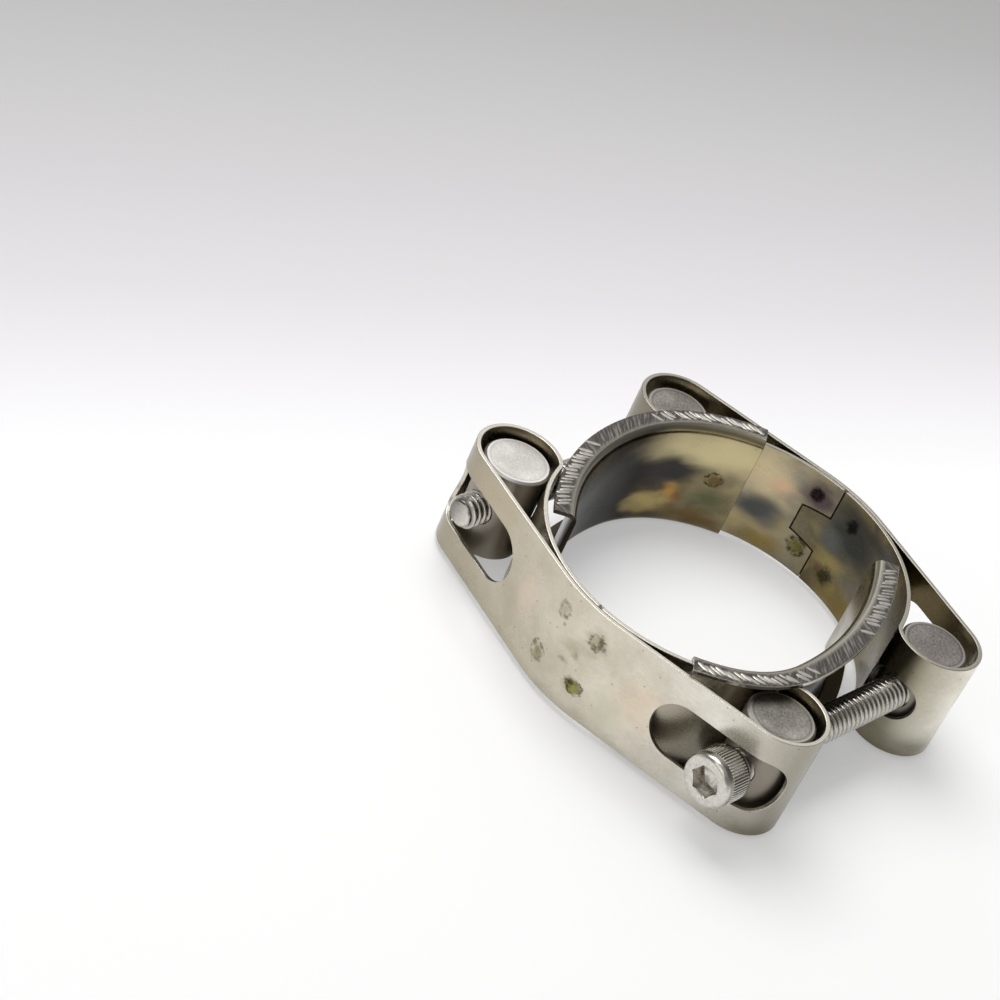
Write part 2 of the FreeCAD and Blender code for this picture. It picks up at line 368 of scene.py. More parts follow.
@dataclass(frozen=True)
class StainAndShading:
    """A tint on the steel, placed on the strip laid flat: a patch or the ring round a weld. Most
    are stains, and some are painted shade and painted highlights.

    Its reach and height are half sizes in mm. A ring is a share of the reach at which the
    tint is strongest, fray says how ragged the edge is, and core how far in it starts to fade.
    """

    along: float
    up: float
    reach: float
    tall: float
    tint: str
    strength: float
    ring: float = 0.0
    fray: float = 0.5
    core: float = 0.0


@dataclass(frozen=True)
class BareSteel:
    """Bare steel of any finish: a full metal with the default IOR."""

    name: str

    def surface(self, tree: bpy.types.NodeTree) -> Surface:
        """Colour, roughness and bump, which each finish makes in its own way."""
        raise NotImplementedError

    def material(self) -> bpy.types.Material:
        """Build the material.

        Returns:
            The material, under the finish's name.
        """
        material = bpy.data.materials.new(self.name)
        material.use_nodes = True
        tree = material.node_tree
        shader = tree.nodes["Principled BSDF"]
        shader.inputs["Metallic"].default_value = 1.0
        for title, source in zip(("Base Color", "Roughness", "Normal"), self.surface(tree)):
            tree.links.new(source, shader.inputs[title])
        return material


@dataclass(frozen=True)
class RolledStrip(BareSteel):
    """Cold rolled stainless strip, satin, with heat tints and small marks.

    The eye gets a warm pale grey metal with a soft sheen, a grain that runs along the strip,
    faint clouds, straw and brown tints where it was welded, dark pin-head specks and sheared
    edges whose colour is painted light and shade. Real rolling lines are some 0.05 mm wide.
    They are drawn 0.22 mm wide, so that they show. Sizes are in mm, and the tones are hex
    colours at lengths along the strip, which carry painted shade and light as well as the
    steel's own tone. The back face's tones are painted shade and light, and so are some of
    the patches.
    Bend and flange reach say where a liner's bend and its dull flange start and are full.
    """

    # Tones along the strip: the steel's tone with painted shade and light laid in, paler on the
    # straight middle and darker on the loops, where the face reflects the floor's shade.
    tones: tuple[tuple[float, str], ...]
    cloud: str
    # Tones of the back face, painted light and shade: the first on the loops' insides, the second
    # mixed in on the inner layer's back, where it stands for light through the slot.
    back_shading: tuple[str, str]
    roughness: float
    stains_and_shading: tuple[StainAndShading, ...] = ()
    # Colour laid on cut edges: painted light, pale as a highlight on bright parts and dull as shade
    # on shaded ones.
    edge: str = "#c9c4b8"
    flange: tuple[str, str] | None = None
    bend: str = "#a5a196"
    temper: tuple[str, str] = ("#a8965c", "#5f6068")
    temper_from: float = 64.0
    bend_reach: tuple[float, float] = (11.3, 12.6)
    flange_reach: tuple[float, float] = (13.1, 14.1)
    cloud_share: float = 0.5
    grain_width: float = 0.22
    grain_length: float = 7.0
    cloud_size: float = 11.0
    speck_gap: float = 1.7
    streak: float = 0.4
    grit: float = 0.7

    def scored(self, tree: bpy.types.NodeTree, along: bpy.types.NodeSocket,
               up: bpy.types.NodeSocket, colour: bpy.types.NodeSocket
               ) -> bpy.types.NodeSocket:
        """Lay the dull grey of a rolled flange over a colour, with fine slanting score lines.

        Args:
            tree: The material's node tree.
            along: Length along the strip.
            up: Place across the strip laid flat.
            colour: Colour of the bare strip.

        Returns:
            The colour with bends and flanges on it.
        """
        reach = add_node(tree, "ShaderNodeMath", {0: up}, operation="ABSOLUTE")
        slanted = add_node(tree, "ShaderNodeMath", {0: reach, 1: 0.75, 2: along},
                           operation="MULTIPLY_ADD")
        lines = add_node(tree, "ShaderNodeTexNoise", {
            "Vector": add_node(tree, "ShaderNodeCombineXYZ", {
                0: slanted, 1: add_node(tree, "ShaderNodeMath", {0: reach, 1: 0.16},
                                        operation="MULTIPLY")}),
            "Scale": 1.9, "Detail": 3.0, "Roughness": 0.65})
        tone = add_node(tree, "ShaderNodeMix", {
            "Factor": add_node(tree, "ShaderNodeMapRange", {
                "Value": lines, "From Min": 0.48, "From Max": 0.64}),
            6: linear(self.flange[0]), 7: linear(self.flange[1])}, data_type="RGBA")
        colour = add_node(tree, "ShaderNodeMix", {
            "Factor": add_node(tree, "ShaderNodeMapRange", {
                "Value": reach, "From Min": self.bend_reach[0], "From Max": self.bend_reach[1],
                "To Max": 0.75}),
            6: colour, 7: linear(self.bend)}, data_type="RGBA").outputs[2]
        return add_node(tree, "ShaderNodeMix", {
            "Factor": add_node(tree, "ShaderNodeMapRange", {
                "Value": reach, "From Min": self.flange_reach[0],
                "From Max": self.flange_reach[1]}),
            6: colour, 7: tone.outputs[2]}, data_type="RGBA").outputs[2]

    def patched(self, tree: bpy.types.NodeTree, flat: bpy.types.NodeSocket,
                colour: bpy.types.NodeSocket, patch: StainAndShading) -> bpy.types.NodeSocket:
        """Lay one patch over a colour. Patches are stains and weld marks, and some are painted
        shade and painted highlights.

        Args:
            tree: The material's node tree.
            flat: Place on the strip laid flat.
            colour: Colour under the stain.
            patch: The stain.

        Returns:
            The colour with the stain on it.
        """
        size = min(patch.reach, patch.tall)
        small = size < 3.0  # mm, and then the edge is finer and round, not drawn out
        drawn = add_node(tree, "ShaderNodeVectorMath", {
            0: flat, 1: (1.0 if small else 0.4, 1.0, 1.0)}, operation="MULTIPLY")
        ragged = add_node(tree, "ShaderNodeTexNoise", {
            "Vector": drawn, "Scale": 1.1 / size ** 0.6, "Detail": 4.0 if small else 2.0,
            "Roughness": 0.6 if small else 0.4})
        moved = add_node(tree, "ShaderNodeVectorMath", {
            0: flat, 1: (patch.along, patch.up, 0.0)}, operation="SUBTRACT")
        scaled = add_node(tree, "ShaderNodeVectorMath", {
            0: moved, 1: (1.0 / patch.reach, 1.0 / patch.tall, 1.0)}, operation="MULTIPLY")
        distance = add_node(tree, "ShaderNodeVectorMath", {0: scaled}, operation="LENGTH")
        frayed = add_node(tree, "ShaderNodeMath", {
            0: add_node(tree, "ShaderNodeMath", {0: ragged, 1: 0.5}, operation="SUBTRACT"),
            1: 2.0 * patch.fray, 2: distance.outputs["Value"]}, operation="MULTIPLY_ADD")
        if patch.ring:
            frayed = add_node(tree, "ShaderNodeMath", {
                0: add_node(tree, "ShaderNodeMath", {0: frayed, 1: patch.ring},
                            operation="SUBTRACT")}, operation="ABSOLUTE")
        cover = add_node(tree, "ShaderNodeMapRange", {
            "Value": frayed, "From Min": patch.core, "From Max": 1.0 - patch.ring,
            "To Min": patch.strength, "To Max": 0.0}, interpolation_type="SMOOTHSTEP")
        broken = add_node(tree, "ShaderNodeMapRange", {
            "Value": add_node(tree, "ShaderNodeTexNoise", {
                "Vector": drawn, "Scale": 0.9 if patch.ring else 1.7, "Detail": 4.0,
                "Roughness": 0.7}),
            "From Min": 0.42, "From Max": 0.56,
            "To Min": 0.0 if patch.ring else 0.8 if small else 1.0,
            "To Max": 1.0})
        return add_node(tree, "ShaderNodeMix", {
            "Factor": add_node(tree, "ShaderNodeMath", {0: cover, 1: broken},
                               operation="MULTIPLY"),
            6: colour, 7: linear(patch.tint)}, data_type="RGBA").outputs[2]

    def surface(self, tree: bpy.types.NodeTree) -> Surface:
        """Paint the strip from the flat places and cut edges that its mesh keeps.

        Args:
            tree: The material's node tree.

        Returns:
            Colour, roughness and bump.
        """
        flat = add_node(tree, "ShaderNodeAttribute", attribute_name="flat").outputs["Vector"]
        cut = add_node(tree, "ShaderNodeAttribute", attribute_name="cut").outputs["Fac"]
        along, up, side = add_node(tree, "ShaderNodeSeparateXYZ", {0: flat}).outputs[:3]
        clouds = add_node(tree, "ShaderNodeTexNoise", {
            "Vector": flat, "Scale": 1.0 / self.cloud_size, "Detail": 4.0, "Roughness": 0.6})
        fine = add_node(tree, "ShaderNodeTexNoise", {
            "Vector": add_node(tree, "ShaderNodeVectorMath", {
                0: flat, 1: (self.streak, 1.0, 1.0)}, operation="MULTIPLY"),
            "Scale": 2.2, "Detail": 4.0, "Roughness": 0.65})
        mottle = add_node(tree, "ShaderNodeMath", {
            0: fine, 1: self.grit, 2: add_node(tree, "ShaderNodeMapRange", {
                "Value": clouds, "From Min": 0.34, "From Max": 0.68, "To Min": -0.4,
                "To Max": 0.5})}, operation="MULTIPLY_ADD")
        colour = add_node(tree, "ShaderNodeMix", {
            "Factor": add_node(tree, "ShaderNodeMath", {0: mottle, 1: self.cloud_share},
                               operation="MULTIPLY", use_clamp=True),
            6: graded(tree, along, self.tones), 7: linear(self.cloud)}, data_type="RGBA").outputs[2]
        hot = add_node(tree, "ShaderNodeMapRange", {
            "Value": add_node(tree, "ShaderNodeMath", {0: along}, operation="ABSOLUTE"),
            "From Min": self.temper_from, "From Max": self.temper_from + 5.0,
            "To Min": 0.0, "To Max": 0.45})
        heat = add_node(tree, "ShaderNodeTexNoise", {
            "Vector": flat, "Scale": 0.13, "Detail": 2.0, "Roughness": 0.5, "Distortion": 0.4})
        # Straw shows where the noise is high, blue grey where it is low.
        for tint, low, high in zip(self.temper, (0.55, 0.47), (0.68, 0.34)):
            colour = add_node(tree, "ShaderNodeMix", {
                "Factor": add_node(tree, "ShaderNodeMath", {
                    0: hot, 1: add_node(tree, "ShaderNodeMapRange", {
                        "Value": heat, "From Min": low, "From Max": high})},
                    operation="MULTIPLY"),
                6: colour, 7: linear(tint)}, data_type="RGBA").outputs[2]
        if self.flange:
            colour = self.scored(tree, along, up, colour)
        # The back face takes painted light and shade of its own in place of the face's tones.
        unseen = add_node(tree, "ShaderNodeMapRange", {
            "Value": side, "From Min": 0.0, "From Max": UNSEEN_SIDE})
        back = add_node(tree, "ShaderNodeMix", {
            "Factor": hot, 6: linear(self.back_shading[0]), 7: linear(self.back_shading[1])},
            data_type="RGBA").outputs[2]
        colour = add_node(tree, "ShaderNodeMix", {
            "Factor": unseen, 6: colour, 7: back}, data_type="RGBA").outputs[2]
        # Patches: stains and weld marks, and some painted shade and painted highlights.
        for patch in self.stains_and_shading:
            colour = self.patched(tree, flat, colour, patch)
        specks = add_node(tree, "ShaderNodeTexVoronoi", {
            "Vector": flat, "Scale": 1.0 / self.speck_gap, "Randomness": 1.0})
        chosen = add_node(tree, "ShaderNodeMath", {
            0: add_node(tree, "ShaderNodeSeparateColor", {0: specks.outputs["Color"]}),
            1: 0.6}, operation="GREATER_THAN")
        dots = add_node(tree, "ShaderNodeMapRange", {
            "Value": specks.outputs["Distance"], "From Min": 0.05, "From Max": 0.13,
            "To Min": 0.55, "To Max": 0.0})
        speckled = add_node(tree, "ShaderNodeMath", {0: dots, 1: chosen}, operation="MULTIPLY")
        # A cut edge takes the painted edge colour where its mark is positive and painted shade
        # where it is negative.
        shaded_cut = add_node(tree, "ShaderNodeMath", {0: cut, 1: -0.8}, operation="MULTIPLY")
        for share, tint in ((speckled, "#5f5844"), (cut, self.edge), (shaded_cut, "#352f27")):
            colour = add_node(tree, "ShaderNodeMix", {
                "Factor": share, 6: colour, 7: linear(tint)}, data_type="RGBA").outputs[2]
        rough = add_node(tree, "ShaderNodeMapRange", {
            "Value": mottle, "From Min": 0.0, "From Max": 1.0,
            "To Min": self.roughness - 0.04, "To Max": self.roughness + 0.08})
        stretch = add_node(tree, "ShaderNodeVectorMath", {
            0: flat, 1: (1.0 / self.grain_length, 1.0 / self.grain_width, 1.0)},
            operation="MULTIPLY")
        grain = add_node(tree, "ShaderNodeTexNoise", {
            "Vector": stretch, "Scale": 1.0, "Detail": 2.0, "Roughness": 0.6})
        height = add_node(tree, "ShaderNodeMath", {0: grain, 1: 0.5, 2: fine},
                          operation="MULTIPLY_ADD")
        bump = add_node(tree, "ShaderNodeBump", {
            "Strength": 0.55, "Distance": 0.022 * MM, "Height": height})
        return colour, rough.outputs[0], bump.outputs[0]


@dataclass(frozen=True)
class TurnedBar(BareSteel):
    """Round steel bar, faced on a lathe: grey, with fine rings on the ends.

    The eye gets a dull grey disc with soft clouds, faint rings about its middle, a thin pale
    rim that is a painted highlight and a smooth side painted darker as shade. Real rings are
    about 0.1 mm apart. They are drawn 0.8 mm apart, so that they show. Its bands are distances
    in from the edge at which a tint starts and is full, and the share that the tint then has.
    """

    pale: str
    deep: str
    # Colour of the side, painted darker as shade.
    side: str
    roughness: float
    centre: tuple[float, float]
    radius: float
    cloudy: float = 0.3
    # Colour of the rim, a painted highlight.
    rim: str = "#cfccc7"
    ring_gap: float = 0.8
    bands: tuple[tuple[float, float, float], ...] = (
        (1.35, 1.1, 0.5), (0.95, 0.75, 0.8), (0.5, 0.35, 0.8), (0.12, 0.06, 1.0))

    def surface(self, tree: bpy.types.NodeTree) -> Surface:
        """Paint the bar's ends and side by the distance from its axis.

        Args:
            tree: The material's node tree.

        Returns:
            Colour, roughness and bump.
        """
        place = add_node(tree, "ShaderNodeTexCoord").outputs["Object"]
        moved = add_node(tree, "ShaderNodeVectorMath", {
            0: add_node(tree, "ShaderNodeVectorMath", {0: place, 1: (1 / MM, 1 / MM, 1 / MM)},
                        operation="MULTIPLY"),
            1: (self.centre[0], self.centre[1], 0.0)}, operation="SUBTRACT")
        reach = add_node(tree, "ShaderNodeVectorMath", {
            0: add_node(tree, "ShaderNodeVectorMath", {0: moved, 1: (1.0, 1.0, 0.0)},
                        operation="MULTIPLY")}, operation="LENGTH").outputs["Value"]
        rings = add_node(tree, "ShaderNodeTexWave", {
            "Vector": moved, "Scale": 1.0 / self.ring_gap / WAVES_PER_UNIT, "Distortion": 0.8,
            "Detail": 1.0, "Detail Scale": 1.0},
            wave_type="RINGS", rings_direction="Z", wave_profile="SIN")
        fine = add_node(tree, "ShaderNodeTexNoise", {
            "Vector": moved, "Scale": 2.0, "Detail": 4.0, "Roughness": 0.65})
        clouds = add_node(tree, "ShaderNodeTexNoise", {
            "Vector": moved, "Scale": 0.16, "Detail": 2.0, "Roughness": 0.5})
        mottle = add_node(tree, "ShaderNodeMath", {
            0: add_node(tree, "ShaderNodeMapRange", {
                "Value": fine, "From Min": 0.3, "From Max": 0.7}),
            1: 0.6, 2: add_node(tree, "ShaderNodeMapRange", {
                "Value": clouds, "From Min": 0.4, "From Max": 0.62,
                "To Min": 0.2 - self.cloudy, "To Max": 0.2 + self.cloudy})},
            operation="MULTIPLY_ADD")
        mottle = add_node(tree, "ShaderNodeMath", {0: rings, 1: 0.06, 2: mottle},
                          operation="MULTIPLY_ADD", use_clamp=True)
        colour = add_node(tree, "ShaderNodeMix", {
            "Factor": mottle, 6: linear(self.pale), 7: linear(self.deep)},
            data_type="RGBA").outputs[2]
        # A darker ring, a pale ring, the rim's painted highlight and the side's painted shade.
        for (low, high, share), tint in zip(
                self.bands, (self.deep, self.pale, self.rim, self.side)):
            colour = add_node(tree, "ShaderNodeMix", {
                "Factor": add_node(tree, "ShaderNodeMapRange", {
                    "Value": reach, "From Min": self.radius - low,
                    "From Max": self.radius - high, "To Min": 0.0, "To Max": share}),
                6: colour, 7: linear(tint)}, data_type="RGBA").outputs[2]
        rough = add_node(tree, "ShaderNodeMapRange", {
            "Value": fine, "From Min": 0.3, "From Max": 0.7,
            "To Min": self.roughness, "To Max": self.roughness + 0.12}).outputs[0]
        height = add_node(tree, "ShaderNodeMath", {0: rings, 1: 0.15, 2: fine},
                          operation="MULTIPLY_ADD")
        bump = add_node(tree, "ShaderNodeBump", {
            "Strength": 0.4, "Distance": 0.012 * MM, "Height": height})
        return colour, rough, bump.outputs[0]


@dataclass(frozen=True)
class RolledThread(BareSteel):
    """Stainless steel that a die has rolled to shape: a screw's thread, a flange's strokes.

    The eye gets bright, smooth crests with faint clouds, and dark roots between them, painted
    shade, that draw the thread and the knurl as fine lines.
    """

    pale: str
    deep: str
    roughness: float

    def surface(self, tree: bpy.types.NodeTree) -> Surface:
        """Paint the metal, with painted shade where its mesh marks a root.

        Args:
            tree: The material's node tree.

        Returns:
            Colour, roughness and bump.
        """
        place = add_node(tree, "ShaderNodeTexCoord").outputs["Object"]
        scaled = add_node(tree, "ShaderNodeVectorMath", {
            0: place, 1: (1 / MM, 1 / MM, 1 / MM)}, operation="MULTIPLY")
        mottle = add_node(tree, "ShaderNodeTexNoise", {
            "Vector": scaled, "Scale": 1.3, "Detail": 4.0, "Roughness": 0.6})
        root = add_node(tree, "ShaderNodeMapRange", {
            "Value": add_node(tree, "ShaderNodeAttribute", attribute_name="root").outputs["Fac"],
            "From Min": 0.0, "From Max": 1.0, "To Min": 0.0, "To Max": 0.75})
        colour = add_node(tree, "ShaderNodeMix", {
            "Factor": add_node(tree, "ShaderNodeMapRange", {
                "Value": mottle, "From Min": 0.25, "From Max": 0.8}),
            6: linear(self.pale), 7: linear(self.deep)}, data_type="RGBA").outputs[2]
        # Painted shade in the thread's roots, between the knurl's ridges and a little in the
        # socket.
        colour = add_node(tree, "ShaderNodeMix", {
            "Factor": root, 6: colour, 7: linear("#4b463f")}, data_type="RGBA").outputs[2]
        rough = add_node(tree, "ShaderNodeMapRange", {
            "Value": mottle, "From Min": 0.3, "From Max": 0.7,
            "To Min": self.roughness, "To Max": self.roughness + 0.12}).outputs[0]
        bump = add_node(tree, "ShaderNodeBump", {
            "Strength": 0.2, "Distance": 0.006 * MM,
            "Height": add_node(tree, "ShaderNodeTexNoise", {
                "Vector": scaled, "Scale": 3.0, "Detail": 2.0})})
        return colour, rough, bump.outputs[0]


# ---------------------------------------------------------------- folded bands


@dataclass(frozen=True)
class Weld:
    """A spot weld: a shallow round dent with a low lip, placed on the strip laid flat.

    The lip's height is a share of the depth, its reach and width are shares of the radius.
    """

    along: float
    up: float
    radius: float = 1.7
    depth: float = 0.10
    lip_height: float = 0.22
    lip_reach: float = 1.12
    lip_width: float = 0.2


@dataclass(frozen=True)
class Arc:
    """A run of the strip round a plan centre. A negative radius bends the other way."""

    centre: tuple[float, float]
    radius: float
    start: float
    end: float

    @property
    def length(self) -> float:
        """Length along the strip's middle."""
        return math.radians(abs(self.end - self.start)) * abs(self.radius)

    def place(self, run: np.ndarray) -> tuple[np.ndarray, np.ndarray]:
        """Plan places and outward normals at lengths along the run.

        Args:
            run: The lengths.

        Returns:
            One place and one normal for each length.
        """
        turn = np.radians(self.start + (self.end - self.start) * run / self.length)
        ray = np.stack([np.cos(turn), np.sin(turn)], axis=1)
        return np.array(self.centre) + abs(self.radius) * ray, ray * math.copysign(1, self.radius)


@dataclass(frozen=True)
class Straight:
    """A straight run of the strip between two plan points."""

    first: tuple[float, float]
    last: tuple[float, float]

    @property
    def length(self) -> float:
        """Length of the run."""
        return math.dist(self.first, self.last)

    def place(self, run: np.ndarray) -> tuple[np.ndarray, np.ndarray]:
        """Plan places and outward normals at lengths along the run.

        Args:
            run: The lengths.

        Returns:
            One place and one normal for each length.
        """
        first, last = np.array(self.first), np.array(self.last)
        along = (last - first) / self.length
        normal = np.array([-along[1], along[0]])
        return first + run[:, None] * along, np.repeat(normal[None], len(run), axis=0)


@dataclass
class FoldedBand:
    """One band: a strip folded round both barrels into two layers, with its slots and joint.

    Sizes are in mm and angles in degrees. The flat mesh's points stand step and rows apart,
    clear of slots and edges, and on rings round each weld. Ring sizes and the weld's clear
    space are shares of its radius. Print through is the share of a dent that the inside shows.
    """

    half: Half
    finish: RolledStrip
    welds: tuple[Weld, ...]
    width: float = 22.0
    thickness: float = 0.85
    ring_radius: float = 30.0
    ring_shift: float = 6.2
    layer_gap: float = 0.12
    loop_centre: tuple[float, float] = (33.852, 22.4)
    loop_inside: float = 7.35
    bend_radius: float = 1.6
    slot_width: float = 11.2
    slot_start: float = 18.8
    slot_end_turn: float = 17.0
    crown_hole: tuple[float, float] = (9.8, 8.2)
    seam_x: float = -1.9
    tongue_length: float = 6.1
    tongue_root: float = 8.4
    tongue_tip: float = 6.0
    seam_gap: float = 0.16
    edge_round: float = 0.14
    step: float = 0.6
    rows: float = 1.5
    slot_clear: float = 0.35
    edge_clear: float = 0.4
    weld_rings: tuple[float, ...] = (0.2, 0.4, 0.6, 0.8, 0.95, 1.1, 1.25, 1.45)
    weld_clear: float = 1.6
    weld_spokes: int = 24
    print_through: float = 0.6
    runs: list[Arc | Straight] = field(default_factory=list)

    def __post_init__(self) -> None:
        """Work out the right half of the strip's middle line, from the outer layer's middle."""
        ring = (0.0, self.ring_shift)
        inner = self.ring_radius + self.thickness / 2
        outer = inner + self.thickness + self.layer_gap
        loop = self.loop_inside + self.thickness / 2
        across = math.dist(ring, self.loop_centre)
        heading = math.atan2(self.loop_centre[1] - ring[1], self.loop_centre[0] - ring[0])
        tangent = math.degrees(heading + math.acos((outer - loop) / across))
        from_ring, from_loop = inner + self.bend_radius, loop - self.bend_radius
        along = (from_ring ** 2 - from_loop ** 2 + across ** 2) / (2 * across)
        aside = math.sqrt(from_ring ** 2 - along ** 2)
        ux, uy = math.cos(heading), math.sin(heading)
        bend = (ring[0] + ux * along + uy * aside, ring[1] + uy * along - ux * aside)
        loop_end = math.degrees(math.atan2(bend[1] - self.loop_centre[1],
                                           bend[0] - self.loop_centre[0]))
        ring_end = math.degrees(math.atan2(bend[1] - ring[1], bend[0] - ring[0]))
        turn = math.radians(tangent)
        ends = [(c[0] + r * math.cos(turn), c[1] + r * math.sin(turn))
                for c, r in ((ring, outer), (self.loop_centre, loop))]
        self.runs = [
            Arc(ring, outer, 90.0, tangent),
            Straight(ends[0], ends[1]),
            Arc(self.loop_centre, loop, tangent, loop_end),
            Arc(bend, self.bend_radius, loop_end, ring_end - 180.0),
            Arc(ring, -inner, ring_end, 120.0),
        ]
        self.starts = np.concatenate([[0.0], np.cumsum([run.length for run in self.runs])])
        self.tangent = tangent
        self.ring_end = ring_end
        self.inner = inner
        self.loop_middle = loop

    def place(self, along: np.ndarray) -> tuple[np.ndarray, np.ndarray]:
        """Plan places and outward normals at lengths along the strip, left ones negative.

        Args:
            along: The lengths, from the middle of the outer layer.

        Returns:
            One place and one normal for each length.
        """
        reach = np.abs(along)
        spots = np.zeros((len(along), 2))
        normals = np.zeros((len(along), 2))
        for index, run in enumerate(self.runs):
            last = index == len(self.runs) - 1
            here = (reach >= self.starts[index]) & (last | (reach < self.starts[index + 1]))
            if here.any():
                spots[here], normals[here] = run.place(reach[here] - self.starts[index])
        side = np.where(along < 0, -1.0, 1.0)
        spots[:, 0] *= side
        normals[:, 0] *= side
        return spots, normals

    def on_loop(self, turn: float) -> float:
        """Length along the strip at an angle of the right loop, in degrees."""
        return self.starts[2] + math.radians(self.tangent - turn) * self.loop_middle

    def on_ring(self, x: float) -> float:
        """Length along the strip at a sideways place of the half ring's inner layer."""
        angle = 90.0 - math.degrees(math.asin(x / self.inner))
        return self.starts[4] + math.radians(angle - self.ring_end) * self.inner

    def outline(self) -> np.ndarray:
        """Edge of the whole strip laid flat, with both ends of its joint.

        Returns:
            Points of the edge, anticlockwise.
        """
        half, gap = self.width / 2, self.seam_gap / 2
        root, tip = self.tongue_root / 2, self.tongue_tip / 2
        tip_x = self.seam_x - self.tongue_length
        right, tongue = self.on_ring(self.seam_x + gap), self.on_ring(tip_x + gap)
        left, notch = -self.on_ring(-self.seam_x + gap), -self.on_ring(-tip_x + gap)
        corners = [
            (left, -half), (right, -half), (right, gap - root), (tongue, gap - tip),
            (tongue, tip - gap), (right, root - gap), (right, half), (left, half),
            (left, root + gap), (notch, tip + gap), (notch, -tip - gap), (left, -root - gap),
        ]
        return divided(corners, self.step)

    def slots(self) -> list[tuple[float, float, float]]:
        """Round-ended openings on the strip laid flat: a slot and a hole on each side.

        Returns:
            Place of each opening's two round ends and their radius.
        """
        radius = self.slot_width / 2
        first = self.slot_start + radius
        end_turn = self.slot_end_turn + math.degrees(
            radius / (self.loop_inside + self.thickness))
        long_slot = (first, self.on_loop(end_turn), radius)
        hole = self.crown_hole[1] / 2
        reach = self.loop_middle * math.asin((self.crown_hole[0] / 2) / self.loop_middle)
        middle = self.on_loop(-90.0)
        crown = (middle - reach + hole, middle + reach - hole, hole)
        return [long_slot, crown] + [(-end, -start, r) for start, end, r in (long_slot, crown)]

    def slot_loop(self, start: float, end: float, radius: float) -> np.ndarray:
        """Edge of a round-ended opening, clockwise, so that its mitres point into it.

        Args:
            start: Place of the first round end's centre.
            end: Place of the last one's.
            radius: Radius of both.

        Returns:
            Points of the edge.
        """
        turns = np.radians(np.linspace(-90.0, 90.0, 25))
        right = [(end + radius * math.cos(turn), radius * math.sin(turn)) for turn in turns]
        left = [(start - radius * math.cos(turn), -radius * math.sin(turn)) for turn in turns]
        return divided(right + left, self.step)[::-1]

    def dent(self, along: np.ndarray, up: np.ndarray) -> np.ndarray:
        """Work out how far the welds move the strip's outside, inwards being negative.

        Args:
            along: Places along the flat strip.
            up: Places across it.

        Returns:
            The move at each place, in mm.
        """
        depth = np.zeros(len(along))
        for weld in self.welds:
            reach = np.hypot(along - weld.along, up - weld.up) / weld.radius
            bowl = np.where(reach < 1.0, (1.0 - reach ** 2) ** 2, 0.0)
            lip = weld.lip_height * np.exp(-((reach - weld.lip_reach) / weld.lip_width) ** 2)
            depth -= weld.depth * (bowl - lip)
        return depth

    def filling(self, outline: np.ndarray, slots: list[tuple[float, float, float]]
                ) -> np.ndarray:
        """Choose flat points inside the strip, closer together at the welds.

        Args:
            outline: Edge of the strip.
            slots: Its openings.

        Returns:
            The points.
        """
        margin = self.width / 2 - self.step
        columns = np.arange(outline[:, 0].min(), outline[:, 0].max(), self.step)
        grid = np.stack(np.meshgrid(columns, np.arange(-margin, margin, self.rows)),
                        axis=-1).reshape(-1, 2)
        rings = []
        for weld in self.welds:
            middle = np.array([weld.along, weld.up])
            grid = grid[np.hypot(*(grid - middle).T) > weld.radius * self.weld_clear]
            rings.append(middle[None])
            for share in self.weld_rings:
                turns = np.linspace(0, math.tau, self.weld_spokes, endpoint=False) + share
                rings.append(middle + share * weld.radius * np.stack(
                    [np.cos(turns), np.sin(turns)], axis=1))
        points = np.concatenate([grid] + rings)
        keep = inside_loop(points, outline)
        for start, end, radius in slots:
            keep &= stadium_distance(points, start, end, radius) > self.slot_clear
        points = points[keep]
        nearest = np.full(len(points), np.inf)
        for corner in outline:
            nearest = np.minimum(nearest, np.hypot(*(points - corner).T))
        return points[nearest > self.edge_clear]

    def build(self) -> bpy.types.Object:
        """Make the band's mesh with its rounded edges, dress it and put it in its place.

        Returns:
            The finished band.
        """
        outline = self.outline()
        slots = self.slots()
        loops = [outline] + [self.slot_loop(*slot) for slot in slots]
        mitres = [loop_normals(loop) for loop in loops]
        edge, mitre = np.concatenate(loops), np.concatenate(mitres)
        links: list[tuple[int, int]] = []
        for loop in loops:
            first, count = len(links), len(loop)
            links += [(first + i, first + (i + 1) % count) for i in range(count)]
        fill = self.filling(outline, slots)
        flat = np.concatenate([edge - self.edge_round * mitre, fill])
        # Kind of output, merging distance, and how far straight sides cut off a slot's arcs.
        inside_only, same_place, chord = 1, 1e-5, 0.012
        found = delaunay_2d_cdt([Vector(p) for p in flat], links, [], inside_only, same_place)
        corners = np.array([tuple(p) for p in found[0]])
        faces = np.array([face for face in found[2] if len(face) == 3])
        middle = corners[faces].mean(axis=1)
        solid = inside_loop(middle, outline - self.edge_round * mitres[0])
        for start, end, radius in slots:
            solid &= stadium_distance(middle, start, end, radius) > self.edge_round - chord
        faces = faces[solid]
        if len(corners) != len(flat):
            LOG.warning("band: %d flat points became %d", len(flat), len(corners))
        return self.folded(corners, faces, edge, mitre, links)

    def folded(self, corners: np.ndarray, faces: np.ndarray, edge: np.ndarray,
               mitre: np.ndarray, links: list[tuple[int, int]]) -> bpy.types.Object:
        """Fold the flat pattern round the barrels and give it its thickness.

        Args:
            corners: Flat points, the edge's first.
            faces: Triangles between them.
            edge: Flat places of the edge before rounding.
            mitre: Outward mitre at each point of the edge.
            links: Neighbours along the edge.

        Returns:
            The finished band.
        """
        half, soft, count, rim = self.thickness / 2, self.edge_round, len(corners), len(edge)
        dent = self.dent(corners[:, 0], corners[:, 1])
        side = mitre / np.linalg.norm(mitre, axis=1, keepdims=True)
        part = CORNER_PART * soft
